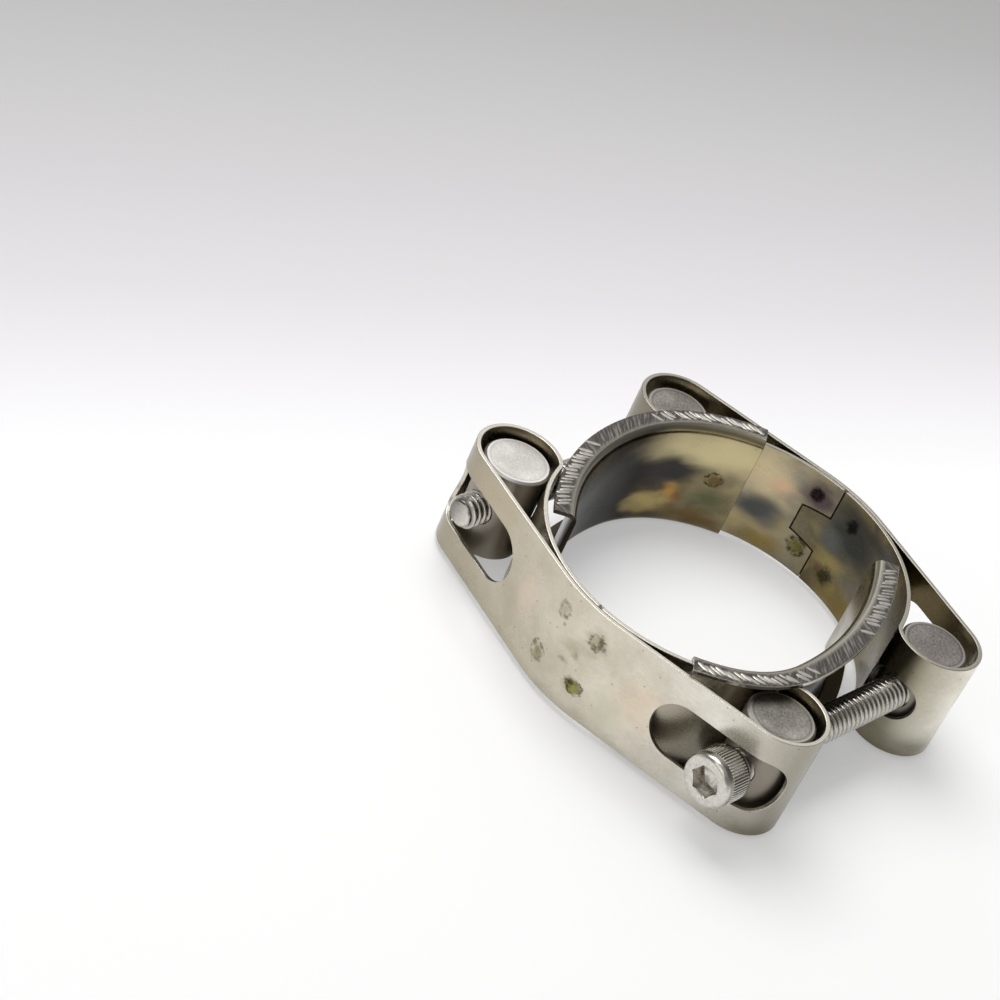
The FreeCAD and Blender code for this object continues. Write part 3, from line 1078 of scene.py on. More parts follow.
        # Flat place, height and lean of six layers: a face, four rows round the edge, a face.
        layers = [(corners, half + dent, np.zeros((count, 2)), np.ones(count))]
        for inset, level, lean in ((part, half - part, DIAGONAL), (0.0, half - soft, 0.0),
                                   (0.0, soft - half, 0.0), (part, part - half, -DIAGONAL)):
            layers.append((edge - inset * mitre, np.full(rim, level),
                           side * math.sqrt(1.0 - lean ** 2), np.full(rim, lean)))
        layers.append((corners, dent * self.print_through - half, np.zeros((count, 2)),
                       -np.ones(count)))
        flat, height, lean_flat, lean_up = (np.concatenate(rows) for rows in zip(*layers))
        on_face = np.repeat([True, False, False, False, False, True],
                            [len(layer[0]) for layer in layers])
        nudge = 0.05
        for axis in (0, 1):
            shift = np.zeros((len(flat), 2))
            shift[:, axis] = nudge
            ahead, behind = flat + shift, flat - shift
            grade = (self.dent(*ahead.T) - self.dent(*behind.T)) / (2 * nudge)
            lean_flat[:, axis] -= np.where(on_face, grade * lean_up, 0.0)
        plan, outward = self.place(flat[:, 0])
        forward = np.stack([outward[:, 1], -outward[:, 0]], axis=1)
        turned = self.half.value
        points = np.zeros((len(flat), 3))
        points[:, :2] = (plan + outward * height[:, None]) * turned
        points[:, 2] = MID_HEIGHT + flat[:, 1]
        normals = np.zeros((len(flat), 3))
        normals[:, :2] = (outward * lean_up[:, None] + forward * lean_flat[:, :1]) * turned
        normals[:, 2] = lean_flat[:, 1]
        normals /= np.linalg.norm(normals, axis=1, keepdims=True)
        starts = np.cumsum([0] + [len(layer[0]) for layer in layers])
        polygons = [tuple(face[::-1]) for face in faces]
        polygons += [tuple(face + starts[5]) for face in faces]
        for a, b in links:
            for upper, lower in zip(starts[:5], starts[1:6]):
                polygons.append((a + upper, b + upper, b + lower, a + lower))
        flat_place = np.column_stack([flat, np.where(height > 0, 0.0, UNSEEN_SIDE)])
        # Cut edges take the painted edge colour, apart from those of the seam and of the inner
        # layer's openings, which take painted shade.
        shaded_cut = (np.abs(edge[:, 0]) > self.starts[4]) & (np.abs(edge[:, 1]) < self.width / 2)
        plain = np.zeros(count)
        cut = np.concatenate([plain] + 4 * [np.where(shaded_cut, -1.0, 1.0)] + [plain])
        piece = mesh_object(self.half.name.lower() + "_band_strip", points, polygons, normals,
                            flat=flat_place, cut=cut)
        piece.data.materials.append(self.finish.material())
        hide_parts(self.half.name.lower() + "_band")
        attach(piece, self.half.body)
        return piece


# ---------------------------------------------------------------- liners


@dataclass
class BridgeLiner:
    """One flanged liner: a channel that hugs its band, springs inwards, then runs free.

    Sizes are in mm and angles in degrees. The strokes' height counts in the liner's own.
    """

    half: Half
    finish: RolledStrip
    hug_end: float
    spring_radius: float
    free_radius: float
    thickness: float = 0.85
    height: float = 24.4
    flange_reach: float = 4.6
    bend_radius: float = 1.0
    length: float = 61.0
    seam_angle: float = 127.4
    wall_radius: float = 28.861
    ring_shift: float = 6.2
    mark_height: float = 0.13
    lip_round: float = 0.14
    end_round: float = 0.1
    step: float = 0.6

    def plan(self, run: np.ndarray) -> tuple[np.ndarray, np.ndarray]:
        """Places of the wall's pipe side and outward directions along the wall.

        Args:
            run: Lengths from the seam.

        Returns:
            One place and one direction for each length.
        """
        centre = np.array([0.0, self.ring_shift])
        ray = math.radians(self.hug_end)
        spring_centre = centre + (self.wall_radius - self.spring_radius) * np.array(
            [math.cos(ray), math.sin(ray)])
        free_centre = spring_centre + np.array([self.free_radius - self.spring_radius, 0.0])
        first = math.radians(self.hug_end - self.seam_angle) * self.wall_radius
        second = first + math.radians(180.0 - self.hug_end) * self.spring_radius
        turn = np.where(run < first, math.radians(self.seam_angle) + run / self.wall_radius,
                        np.where(run < second, ray + (run - first) / self.spring_radius,
                                 math.pi + (run - second) / self.free_radius))
        radius = np.where(run < first, self.wall_radius,
                          np.where(run < second, self.spring_radius, self.free_radius))
        middle = np.where((run < first)[:, None], centre,
                          np.where((run < second)[:, None], spring_centre, free_centre))
        out = np.stack([np.cos(turn), np.sin(turn)], axis=1)
        return middle + radius[:, None] * out, out

    def section(self) -> tuple[np.ndarray, np.ndarray]:
        """Channel section as matched points of both faces: reach outwards and rise.

        Returns:
            Places on the pipe side with their normals, then on the band side.
        """
        half = self.height / 2 - self.mark_height
        big, small = self.bend_radius + self.thickness, self.bend_radius
        pairs = [(np.array([reach, half]), np.array([reach, half - self.thickness]),
                  np.array([0.0, 1.0]))
                 for reach in np.linspace(self.flange_reach - self.lip_round, big, 7)]
        middle = np.array([big, half - big])
        for turn in np.radians(np.linspace(90.0, 180.0, 9)[1:]):
            ray = np.array([math.cos(turn), math.sin(turn)])
            pairs.append((middle + big * ray, middle + small * ray, ray))
        for rise in np.linspace(half - big, 0.0, 7)[1:]:
            pairs.append((np.array([0.0, rise]), np.array([self.thickness, rise]),
                          np.array([-1.0, 0.0])))
        flip = np.array([1.0, -1.0])
        pairs += [(a * flip, b * flip, n * flip) for a, b, n in reversed(pairs[:-1])]
        outer = np.array([np.concatenate([a, n]) for a, _, n in pairs])
        inner = np.array([np.concatenate([b, -n]) for _, b, n in pairs])
        return outer, inner

    def closed_section(self) -> np.ndarray:
        """Section as one closed loop: pipe side, rounded lower edge, band side, upper edge.

        Returns:
            Reach, rise and normal of each point.
        """
        outer, inner = self.section()
        soft, tip = self.lip_round, self.flange_reach - self.lip_round
        high = self.height / 2 - self.mark_height
        lips = []
        for upper in (1.0, -1.0):
            corners = []
            for level, sign in ((high, 1.0), (high - self.thickness, -1.0)):
                for lean in np.radians(LIP_TURNS):
                    rise = level - sign * soft * (1.0 - math.cos(lean))
                    corners.append((tip + soft * math.sin(lean), rise * upper,
                                    math.sin(lean), sign * math.cos(lean) * upper))
            corners[len(LIP_TURNS):] = corners[len(LIP_TURNS):][::-1]
            lips.append(np.array(corners))
        return np.concatenate([outer, lips[1], inner[::-1], lips[0][::-1]])

    def build(self) -> bpy.types.Object:
        """Sweep the section along the liner's line, close its ends and dress it.

        Returns:
            The channel, without the strokes on its flanges.
        """
        loop = self.closed_section()
        count, wall = len(loop), len(self.section()[0])
        soft, end = self.end_round, self.length
        part = CORNER_PART * soft
        # Length from the seam, inset of the rounded end and lean of its normal.
        stations = [(0.0, soft, -1.0), (part, part, -DIAGONAL)]
        stations += [(run, 0.0, 0.0) for run in
                     np.linspace(soft, end - soft, math.ceil(end / self.step))]
        stations += [(end - part, part, DIAGONAL), (end, soft, 1.0)]
        plan, out = self.plan(np.array([run for run, _, _ in stations]))
        along = np.stack([-out[:, 1], out[:, 0]], axis=1)
        lengths = np.concatenate([[0.0], np.cumsum(np.hypot(*np.diff(loop[:, :2], axis=0).T))])
        unseen = np.where(lengths < lengths[wall], 0.0, UNSEEN_SIDE)
        points, normals, flat = [], [], []
        for index, (run, inset, lean) in enumerate(stations):
            reach = loop[:, 0] - inset * loop[:, 2]
            rise = loop[:, 1] - inset * loop[:, 3]
            spot = plan[index] + out[index] * reach[:, None]
            points.append(np.column_stack([spot * self.half.value, MID_HEIGHT + rise]))
            keep = math.sqrt(1.0 - lean ** 2)
            side = out[index] * loop[:, 2:3] * keep + along[index] * lean
            normals.append(np.column_stack([side * self.half.value, loop[:, 3] * keep]))
            flat.append(np.column_stack([
                np.full(count, run), loop[:, 1] + np.sign(loop[:, 1]) * reach, unseen]))
        polygons = tube_sides(len(stations), count)
        for base, last in ((0, False), ((len(stations) - 1) * count, True)):
            ring = list(range(base, base + count))
            front, lower = ring[:wall], ring[wall:wall + LIP_POINTS]
            back = ring[wall + LIP_POINTS:2 * wall + LIP_POINTS][::-1]
            upper = ring[2 * wall + LIP_POINTS:]
            caps = [(front[i], back[i], back[i + 1], front[i + 1]) for i in range(wall - 1)]
            caps += [(front[-1], back[-1], *lower[::-1]), (back[0], front[0], *upper[::-1])]
            polygons += caps if last else [face[::-1] for face in caps]
        # Lips take the painted edge colour, and so do the flanges' ends. The wall's ends take
        # painted shade.
        lips = np.zeros(count)
        lips[wall:wall + LIP_POINTS] = lips[2 * wall + LIP_POINTS:] = 1.0
        ends = np.where(loop[:, 0] > self.bend_radius, 1.0, -0.9)
        piece = mesh_object(
            self.half.name.lower() + "_liner_channel", np.concatenate(points), polygons,
            np.concatenate(normals), flat=np.concatenate(flat),
            cut=np.concatenate([ends if lean else lips for _, _, lean in stations]))
        piece.data.materials.append(self.finish.material())
        return piece


@dataclass
class FlangeMarks:
    """Raised strokes that the rolling tool left across the liner's flanges.

    They are drawn a little higher and wider than real, so that they show. A few slow sines
    make them uneven. Sizes are in mm, angles in degrees, and shares are of the liner's length
    from its middle to an end.
    """

    half: Half
    liner: BridgeLiner
    finish: RolledThread
    seed: int
    count: int = 59
    seam_margin: float = 1.2
    margins: float = 3.0
    jitter: float = 0.07
    slant: float = 52.0
    sway: float = 2.5
    reach: float = 3.1
    reach_sway: float = 0.3
    length: float = 3.1
    width: float = 1.0
    bare_share: float = 0.33
    bare_sway: float = 0.13
    rows: int = 9
    ring: int = 5

    def stroke(self) -> bpy.types.Object:
        """Make one low stroke, one unit long and wide, with tapered ends and a sunk underside.

        Returns:
            The stroke, which the tree copies.
        """
        points = []
        for row in range(self.rows):
            share = row / (self.rows - 1) * 2.0 - 1.0
            taper = math.sqrt(max(0.0, 1.0 - share ** 2)) * 0.9 + 0.1
            for spot in range(self.ring):
                turn = math.pi * spot / (self.ring - 1)
                points.append((share * 0.5, 0.5 * math.cos(turn) * taper,
                               math.sin(turn) * taper * 1.3 - 0.3))
        piece = mesh_object("stroke", np.array(points) / MM, capped_tube(self.rows, self.ring))
        sides, last = self.ring * (self.rows - 1), self.ring - 1
        for number, face in enumerate(piece.data.polygons):
            face.use_smooth = number < sides and number % self.ring != last
        return piece

    def tree(self) -> bpy.types.NodeTree:
        """Geometry Nodes: instances of the stroke on the points of a line along the flange.

        Returns:
            The tree. Points keep the way out, whether they are under, slant and strength.
        """
        tree, given = node_group("flange_marks", {
            "Geometry": "Geometry", "Stroke": "Object", "Length": "Float", "Width": "Float",
            "Height": "Float", "Sway": "Float", "Seed": "Int", "Finish": "Material"})
        stroke = add_node(tree, "GeometryNodeObjectInfo", {"Object": given["Stroke"]})
        out, strength, under, slant = (
            add_node(tree, "GeometryNodeInputNamedAttribute", {"Name": name}, data_type=kind)
            for name, kind in (("out", "FLOAT_VECTOR"), ("strength", "FLOAT"),
                               ("under", "FLOAT"), ("slant", "FLOAT")))
        swing = add_node(tree, "FunctionNodeRandomValue", {
            2: -1.0, 3: 1.0, "Seed": given["Seed"]}, data_type="FLOAT")
        lean = add_node(tree, "ShaderNodeMath", {
            0: swing.outputs[1], 1: given["Sway"], 2: slant}, operation="MULTIPLY_ADD")
        turned = add_node(tree, "FunctionNodeAlignRotationToVector", {"Vector": out}, axis="X")
        for axis, angle in (((1.0, 0.0, 0.0), under), ((0.0, 0.0, 1.0), lean)):
            turned = add_node(tree, "FunctionNodeRotateRotation", {
                "Rotation": turned,
                "Rotate By": add_node(tree, "FunctionNodeAxisAngleToRotation", {
                    "Axis": axis, "Angle": angle})}, rotation_space="LOCAL")
        sizes = []
        for name, least, shift in (("Length", 0.85, 0.0), ("Width", 0.7, 3.0),
                                   ("Height", 0.5, 7.0)):
            share = add_node(tree, "FunctionNodeRandomValue", {
                2: least, 3: 1.0, "Seed": add_node(tree, "ShaderNodeMath", {
                    0: given["Seed"], 1: shift}, operation="ADD")}, data_type="FLOAT")
            sizes.append(add_node(tree, "ShaderNodeMath", {
                0: given[name], 1: share.outputs[1]}, operation="MULTIPLY"))
        sizes[2] = add_node(tree, "ShaderNodeMath", {0: sizes[2], 1: strength},
                            operation="MULTIPLY")
        end_group(tree, add_node(tree, "GeometryNodeInstanceOnPoints", {
            "Points": given["Geometry"], "Instance": stroke.outputs["Geometry"],
            "Rotation": turned, "Scale": add_node(tree, "ShaderNodeCombineXYZ", dict(
                enumerate(sizes)))}), given["Finish"])
        return tree

    def build(self) -> bpy.types.Object:
        """Make the strokes of both flanges: full and slanting most near the liner's ends.

        Returns:
            All strokes as one plain mesh.
        """
        liner, turned, order = self.liner, self.half.value, np.arange(self.count)
        runs = self.seam_margin + (order + 0.5) * (liner.length - self.margins) / self.count
        runs += self.jitter * np.sin(order * 2.4 + self.seed)
        off_middle = np.abs(runs / liner.length * 2.0 - 1.0)
        marked = off_middle > self.bare_share + self.bare_sway * np.sin(order * 2.1)
        runs, off_middle, count = runs[marked], off_middle[marked], int(marked.sum())
        plan, out = liner.plan(runs)
        strength = np.clip(0.45 + 1.2 * (off_middle - 0.4), 0.3, 1.0)
        slant = np.radians(self.slant * np.clip(1.15 - runs / 40.0, 0.55, 1.0))
        reach = self.reach + self.reach_sway * np.sin(np.arange(count) * 1.7)[:, None]
        level = liner.height / 2 - liner.mark_height
        spots = (plan + out * reach) * turned
        piece = mesh_object(
            self.half.name.lower() + "_flange_marks",
            np.concatenate([np.column_stack([spots, np.full(count, MID_HEIGHT + side * level)])
                            for side in (1.0, -1.0)]), [],
            out=np.tile(np.column_stack([out * turned, np.zeros(count)]), (2, 1)),
            strength=np.tile(strength, 2), slant=np.tile(slant, 2),
            under=np.repeat([0.0, math.pi], count))
        stroke = self.stroke()
        run_tree(piece, self.tree(), {
            "Stroke": stroke, "Length": self.length * MM, "Width": self.width * MM,
            "Height": liner.mark_height * MM, "Sway": math.radians(self.sway),
            "Seed": self.seed, "Finish": self.finish.material()})
        bpy.data.objects.remove(stroke)
        return piece


# ---------------------------------------------------------------- socket screws


@dataclass
class SocketScrew:
    """One socket head screw: knurled head, hexagon socket and a rolled thread to its tip.

    The thread runs in under the head, and has turns to spare that its two ends cut off.
    Points closer than the same place are merged, and edges sharper than a crease stay sharp.
    """

    half: Half
    finish: RolledThread
    axis_x: float = 33.852
    seat: float = -30.7
    length: float = 63.5
    major: float = 3.15
    minor: float = 2.5
    pitch: float = 1.27
    tip_chamfer: float = 0.95
    head_radius: float = 5.0
    head_height: float = 6.35
    socket_flats: float = 5.0
    socket_depth: float = 3.2
    knurl_count: int = 60
    knurl_height: float = 0.17
    knurl_start: float = 1.2
    run_in: float = 0.6
    spare_turns: float = 1.4
    rows_per_turn: int = 8
    thread_sides: int = 40
    same_place: float = 0.002
    thread_crease: float = 42.0
    head_crease: float = 32.0

    def thread_tree(self) -> bpy.types.NodeTree:
        """Geometry Nodes: a grid whose rows follow the helix, rolled into the shank.

        Returns:
            The tree, whose named inputs are the thread's sizes.
        """
        tree, given = node_group("rolled_thread", {
            "Major": "Float", "Minor": "Float", "Pitch": "Float", "Length": "Float",
            "Chamfer": "Float", "Rows": "Int", "Sides": "Int", "Finish": "Material"})
        rows, columns = (add_node(tree, "ShaderNodeMath", {0: given[name], 1: 1.0},
                                  operation="ADD") for name in ("Rows", "Sides"))
        grid = add_node(tree, "GeometryNodeMeshGrid", {
            "Size X": 1.0, "Size Y": 1.0, "Vertices X": rows, "Vertices Y": columns})
        place = add_node(tree, "ShaderNodeSeparateXYZ", {
            0: add_node(tree, "GeometryNodeInputPosition")})
        share, turn = (add_node(tree, "ShaderNodeMath", {0: place.outputs[axis], 1: 0.5},
                                operation="ADD") for axis in (0, 1))
        run = add_node(tree, "ShaderNodeMath", {
            0: add_node(tree, "ShaderNodeMath", {
                0: share, 1: given["Rows"], 2: -1.0}, operation="MULTIPLY_ADD"),
            1: add_node(tree, "ShaderNodeMath", {
                0: given["Pitch"], 1: float(self.rows_per_turn)},
                operation="DIVIDE")}, operation="MULTIPLY")
        sheared = add_node(tree, "ShaderNodeMath", {
            0: run, 1: add_node(tree, "ShaderNodeMath", {
                0: turn, 1: given["Pitch"]}, operation="MULTIPLY")}, operation="SUBTRACT")
        along = add_node(tree, "ShaderNodeClamp", {
            "Value": sheared, "Min": 0.0, "Max": given["Length"]})
        phase = add_node(tree, "ShaderNodeMath", {
            0: add_node(tree, "ShaderNodeMath", {0: along, 1: given["Pitch"]},
                        operation="DIVIDE"), 1: turn}, operation="ADD")
        wave = add_node(tree, "ShaderNodeMath", {
            0: add_node(tree, "ShaderNodeMath", {0: phase, 1: math.tau},
                        operation="MULTIPLY")}, operation="COSINE")
        # Cutting the wave off at both ends leaves flat crests and roots.
        profile = add_node(tree, "ShaderNodeMapRange", {
            "Value": wave, "From Min": -0.72, "From Max": 0.8}, clamp=True)
        full = add_node(tree, "ShaderNodeMapRange", {
            "Value": profile, "To Min": given["Minor"], "To Max": given["Major"]})
        tip = add_node(tree, "ShaderNodeMath", {
            0: add_node(tree, "ShaderNodeMath", {0: given["Major"], 1: given["Chamfer"]},
                        operation="SUBTRACT"),
            1: add_node(tree, "ShaderNodeMath", {0: given["Length"], 1: along},
                        operation="SUBTRACT")}, operation="ADD")
        radius = add_node(tree, "ShaderNodeMath", {0: full, 1: tip}, operation="MINIMUM")
        # The first and the last row shrink to points, which close the ends.
        for limit, test in ((0.9999, "LESS_THAN"), (0.0001, "GREATER_THAN")):
            radius = add_node(tree, "ShaderNodeMath", {
                0: radius, 1: add_node(tree, "ShaderNodeMath", {0: share, 1: limit},
                                       operation=test)}, operation="MULTIPLY")
        angle = add_node(tree, "ShaderNodeMath", {0: turn, 1: math.tau}, operation="MULTIPLY")
        across, rise = (add_node(tree, "ShaderNodeMath", {
            0: radius, 1: add_node(tree, "ShaderNodeMath", {0: angle}, operation=part)},
            operation="MULTIPLY") for part in ("COSINE", "SINE"))
        spot = add_node(tree, "ShaderNodeCombineXYZ", {0: across, 1: along, 2: rise})
        # Roots are marked for the material's painted shade.
        marked = add_node(tree, "GeometryNodeStoreNamedAttribute", {
            "Geometry": grid, "Name": "root", "Value": add_node(tree, "ShaderNodeMath", {
                0: 1.0, 1: profile}, operation="SUBTRACT")}, data_type="FLOAT",
            domain="POINT")
        rolled = add_node(tree, "GeometryNodeSetPosition", {
            "Geometry": marked, "Position": spot})
        closed = add_node(tree, "GeometryNodeMergeByDistance", {
            "Geometry": rolled, "Distance": self.same_place * 2 * MM})
        soft = add_node(tree, "FunctionNodeCompare", {
            0: add_node(tree, "GeometryNodeInputMeshEdgeAngle"),
            1: math.radians(self.thread_crease)}, data_type="FLOAT", operation="LESS_THAN")
        end_group(tree, add_node(tree, "GeometryNodeSetShadeSmooth", {
            "Geometry": closed, "Shade Smooth": soft}, domain="EDGE"), given["Finish"])
        return tree

    def knurl_tree(self) -> bpy.types.NodeTree:
        """Geometry Nodes: one ridge repeated round the head as instances on a circle.

        Returns:
            The tree, whose named inputs are the ridge, its count and the circle's radius.
        """
        tree, given = node_group("head_knurl", {
            "Ridge": "Object", "Count": "Int", "Radius": "Float", "Finish": "Material"})
        circle = add_node(tree, "GeometryNodeMeshCircle", {
            "Vertices": given["Count"], "Radius": given["Radius"]})
        ridge = add_node(tree, "GeometryNodeObjectInfo", {"Object": given["Ridge"]})
        aligned = add_node(tree, "FunctionNodeAlignRotationToVector", {
            "Vector": add_node(tree, "GeometryNodeInputPosition")}, axis="X",
            pivot_axis="Z")
        end_group(tree, add_node(tree, "GeometryNodeInstanceOnPoints", {
            "Points": circle, "Instance": ridge.outputs["Geometry"], "Rotation": aligned}),
            given["Finish"])
        return tree

    def ridge(self) -> bpy.types.Object:
        """One ridge of the knurl, along Z, its crest on +X and its ends run out.

        Returns:
            The ridge, flat shaded, which the tree copies.
        """
        wide = math.tau * self.head_radius / self.knurl_count * 0.5
        crest_wide, sunk, top = wide * 0.18, -0.25, self.knurl_height
        rows = [(0.35, sunk), (0.75, top), (4.35, top), (4.75, sunk)]
        points = []
        for along, crest in rows:
            foot, shoulder = sunk - 0.1, min(crest, 0.0)
            points += [(foot, -wide, along), (shoulder, -wide, along),
                       (crest, -crest_wide, along), (crest, crest_wide, along),
                       (shoulder, wide, along), (foot, wide, along)]
        # Points low on the ridge are marked for the painted shade between the ridges.
        depth = np.array([point[0] < 0.1 * top for point in points], float)
        piece = mesh_object("ridge", np.array(points), capped_tube(len(rows), 6), root=depth)
        piece.data.polygons.foreach_set("use_smooth", [False] * len(piece.data.polygons))
        return piece

    def head(self) -> bpy.types.Object:
        """The head's shell: hexagon socket, bevelled face, smooth rim, side and seat.

        Returns:
            The shell, upright on Y, with its face at zero and both poles still open.
        """
        sides = 72
        turns = np.arange(sides) * math.tau / sides
        apothem, floor = self.socket_flats / 2, self.socket_depth
        hexagon = apothem / np.cos(np.mod(turns, math.pi / 3) - math.pi / 6)
        bore, core = apothem * 0.98, self.head_radius - self.knurl_height
        tall = self.head_height
        # Radius and depth below the face, from the socket's drill point to the shank.
        rows: list[tuple[Any, float]] = [
            (0.0, floor + 0.9), (0.35 * bore, floor + 0.6), (bore, floor),
            (hexagon * 0.995, floor - 0.02), (hexagon, floor - 0.1), (hexagon, 0.32),
            (hexagon + 0.02, 0.2), (hexagon * 0.4 + 0.6 * (apothem + 0.45), 0.05),
            (apothem + 0.62, 0.0), (core - 1.05, 0.0), (core - 0.72, 0.03),
            (core - 0.42, 0.16), (core - 0.16, 0.4), (core - 0.03, 0.72), (core, 1.05),
            (core, tall - 0.35), (core - 0.1, tall - 0.1), (core - 0.35, tall),
            (self.minor, tall), (0.0, tall)]
        # The socket gets a little painted shade, the knurl's ground between the ridges much.
        root_shade = np.zeros(len(rows))
        root_shade[:6], root_shade[14:16] = 0.05, 0.7
        points = np.concatenate([np.column_stack([
            radius * np.cos(turns), np.full(sides, depth), radius * np.sin(turns)])
            for radius, depth in rows])
        return mesh_object("head", points, tube_sides(len(rows), sides),
                           root=np.repeat(root_shade, sides))

    def build(self) -> bpy.types.Object:
        """Make the screw, put it on its axis and let it stand for its CAD node.

        Returns:
            The finished screw.
        """
        name = self.half.name.lower()
        material = bpy.data.materials.get(self.finish.name) or self.finish.material()
        shank_length = self.length + self.run_in
        turns = math.ceil(shank_length / self.pitch + self.spare_turns)
        shank = mesh_object("shank", np.zeros((1, 3)), [])
        run_tree(shank, self.thread_tree(), {
            "Major": self.major * MM, "Minor": self.minor * MM, "Pitch": self.pitch * MM,
            "Length": shank_length * MM, "Chamfer": self.tip_chamfer * MM,
            "Rows": turns * self.rows_per_turn, "Sides": self.thread_sides,
            "Finish": material})
        ridge = self.ridge()
        knurl = mesh_object("knurl", np.zeros((1, 3)), [])
        run_tree(knurl, self.knurl_tree(), {
            "Ridge": ridge, "Count": self.knurl_count,
            "Radius": (self.head_radius - self.knurl_height) * MM, "Finish": material})
        bpy.data.objects.remove(ridge)
        head = self.head()
        head.data.materials.append(material)
        top = self.seat - self.head_height
        for piece, start, upright in ((head, top, False), (shank, self.seat - self.run_in, False),
                                      (knurl, top + self.knurl_start, True)):
            co = np.zeros(len(piece.data.vertices) * 3)
            piece.data.vertices.foreach_get("co", co)
            co = co.reshape(-1, 3)
            if upright:
                co = co[:, [0, 2, 1]] * np.array([1.0, 1.0, -1.0])
            co += np.array([self.axis_x, start, MID_HEIGHT]) * MM
            co[:, :2] *= -self.half.value
            piece.data.vertices.foreach_set("co", co.ravel())
            piece.data.update()
        self.close(head)
        screw = joined(name + "_socket_screw", [head, knurl, shank])
        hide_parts(name + "_screw")
        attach(screw, name + "_screw")
        return screw

    def close(self, head: bpy.types.Object) -> None:
        """Merge the head's poles, sharpen its hard corners and point its faces outwards.

        Args:
            head: The head's shell.
        """
        work = bmesh.new()
        work.from_mesh(head.data)
        bmesh.ops.remove_doubles(work, verts=work.verts, dist=self.same_place * MM)
        bmesh.ops.recalc_face_normals(work, faces=work.faces)
        for edge in work.edges:
            edge.smooth = edge.calc_face_angle(0.0) < math.radians(self.head_crease)
        work.to_mesh(head.data)
        work.free()


# ---------------------------------------------------------------- studio


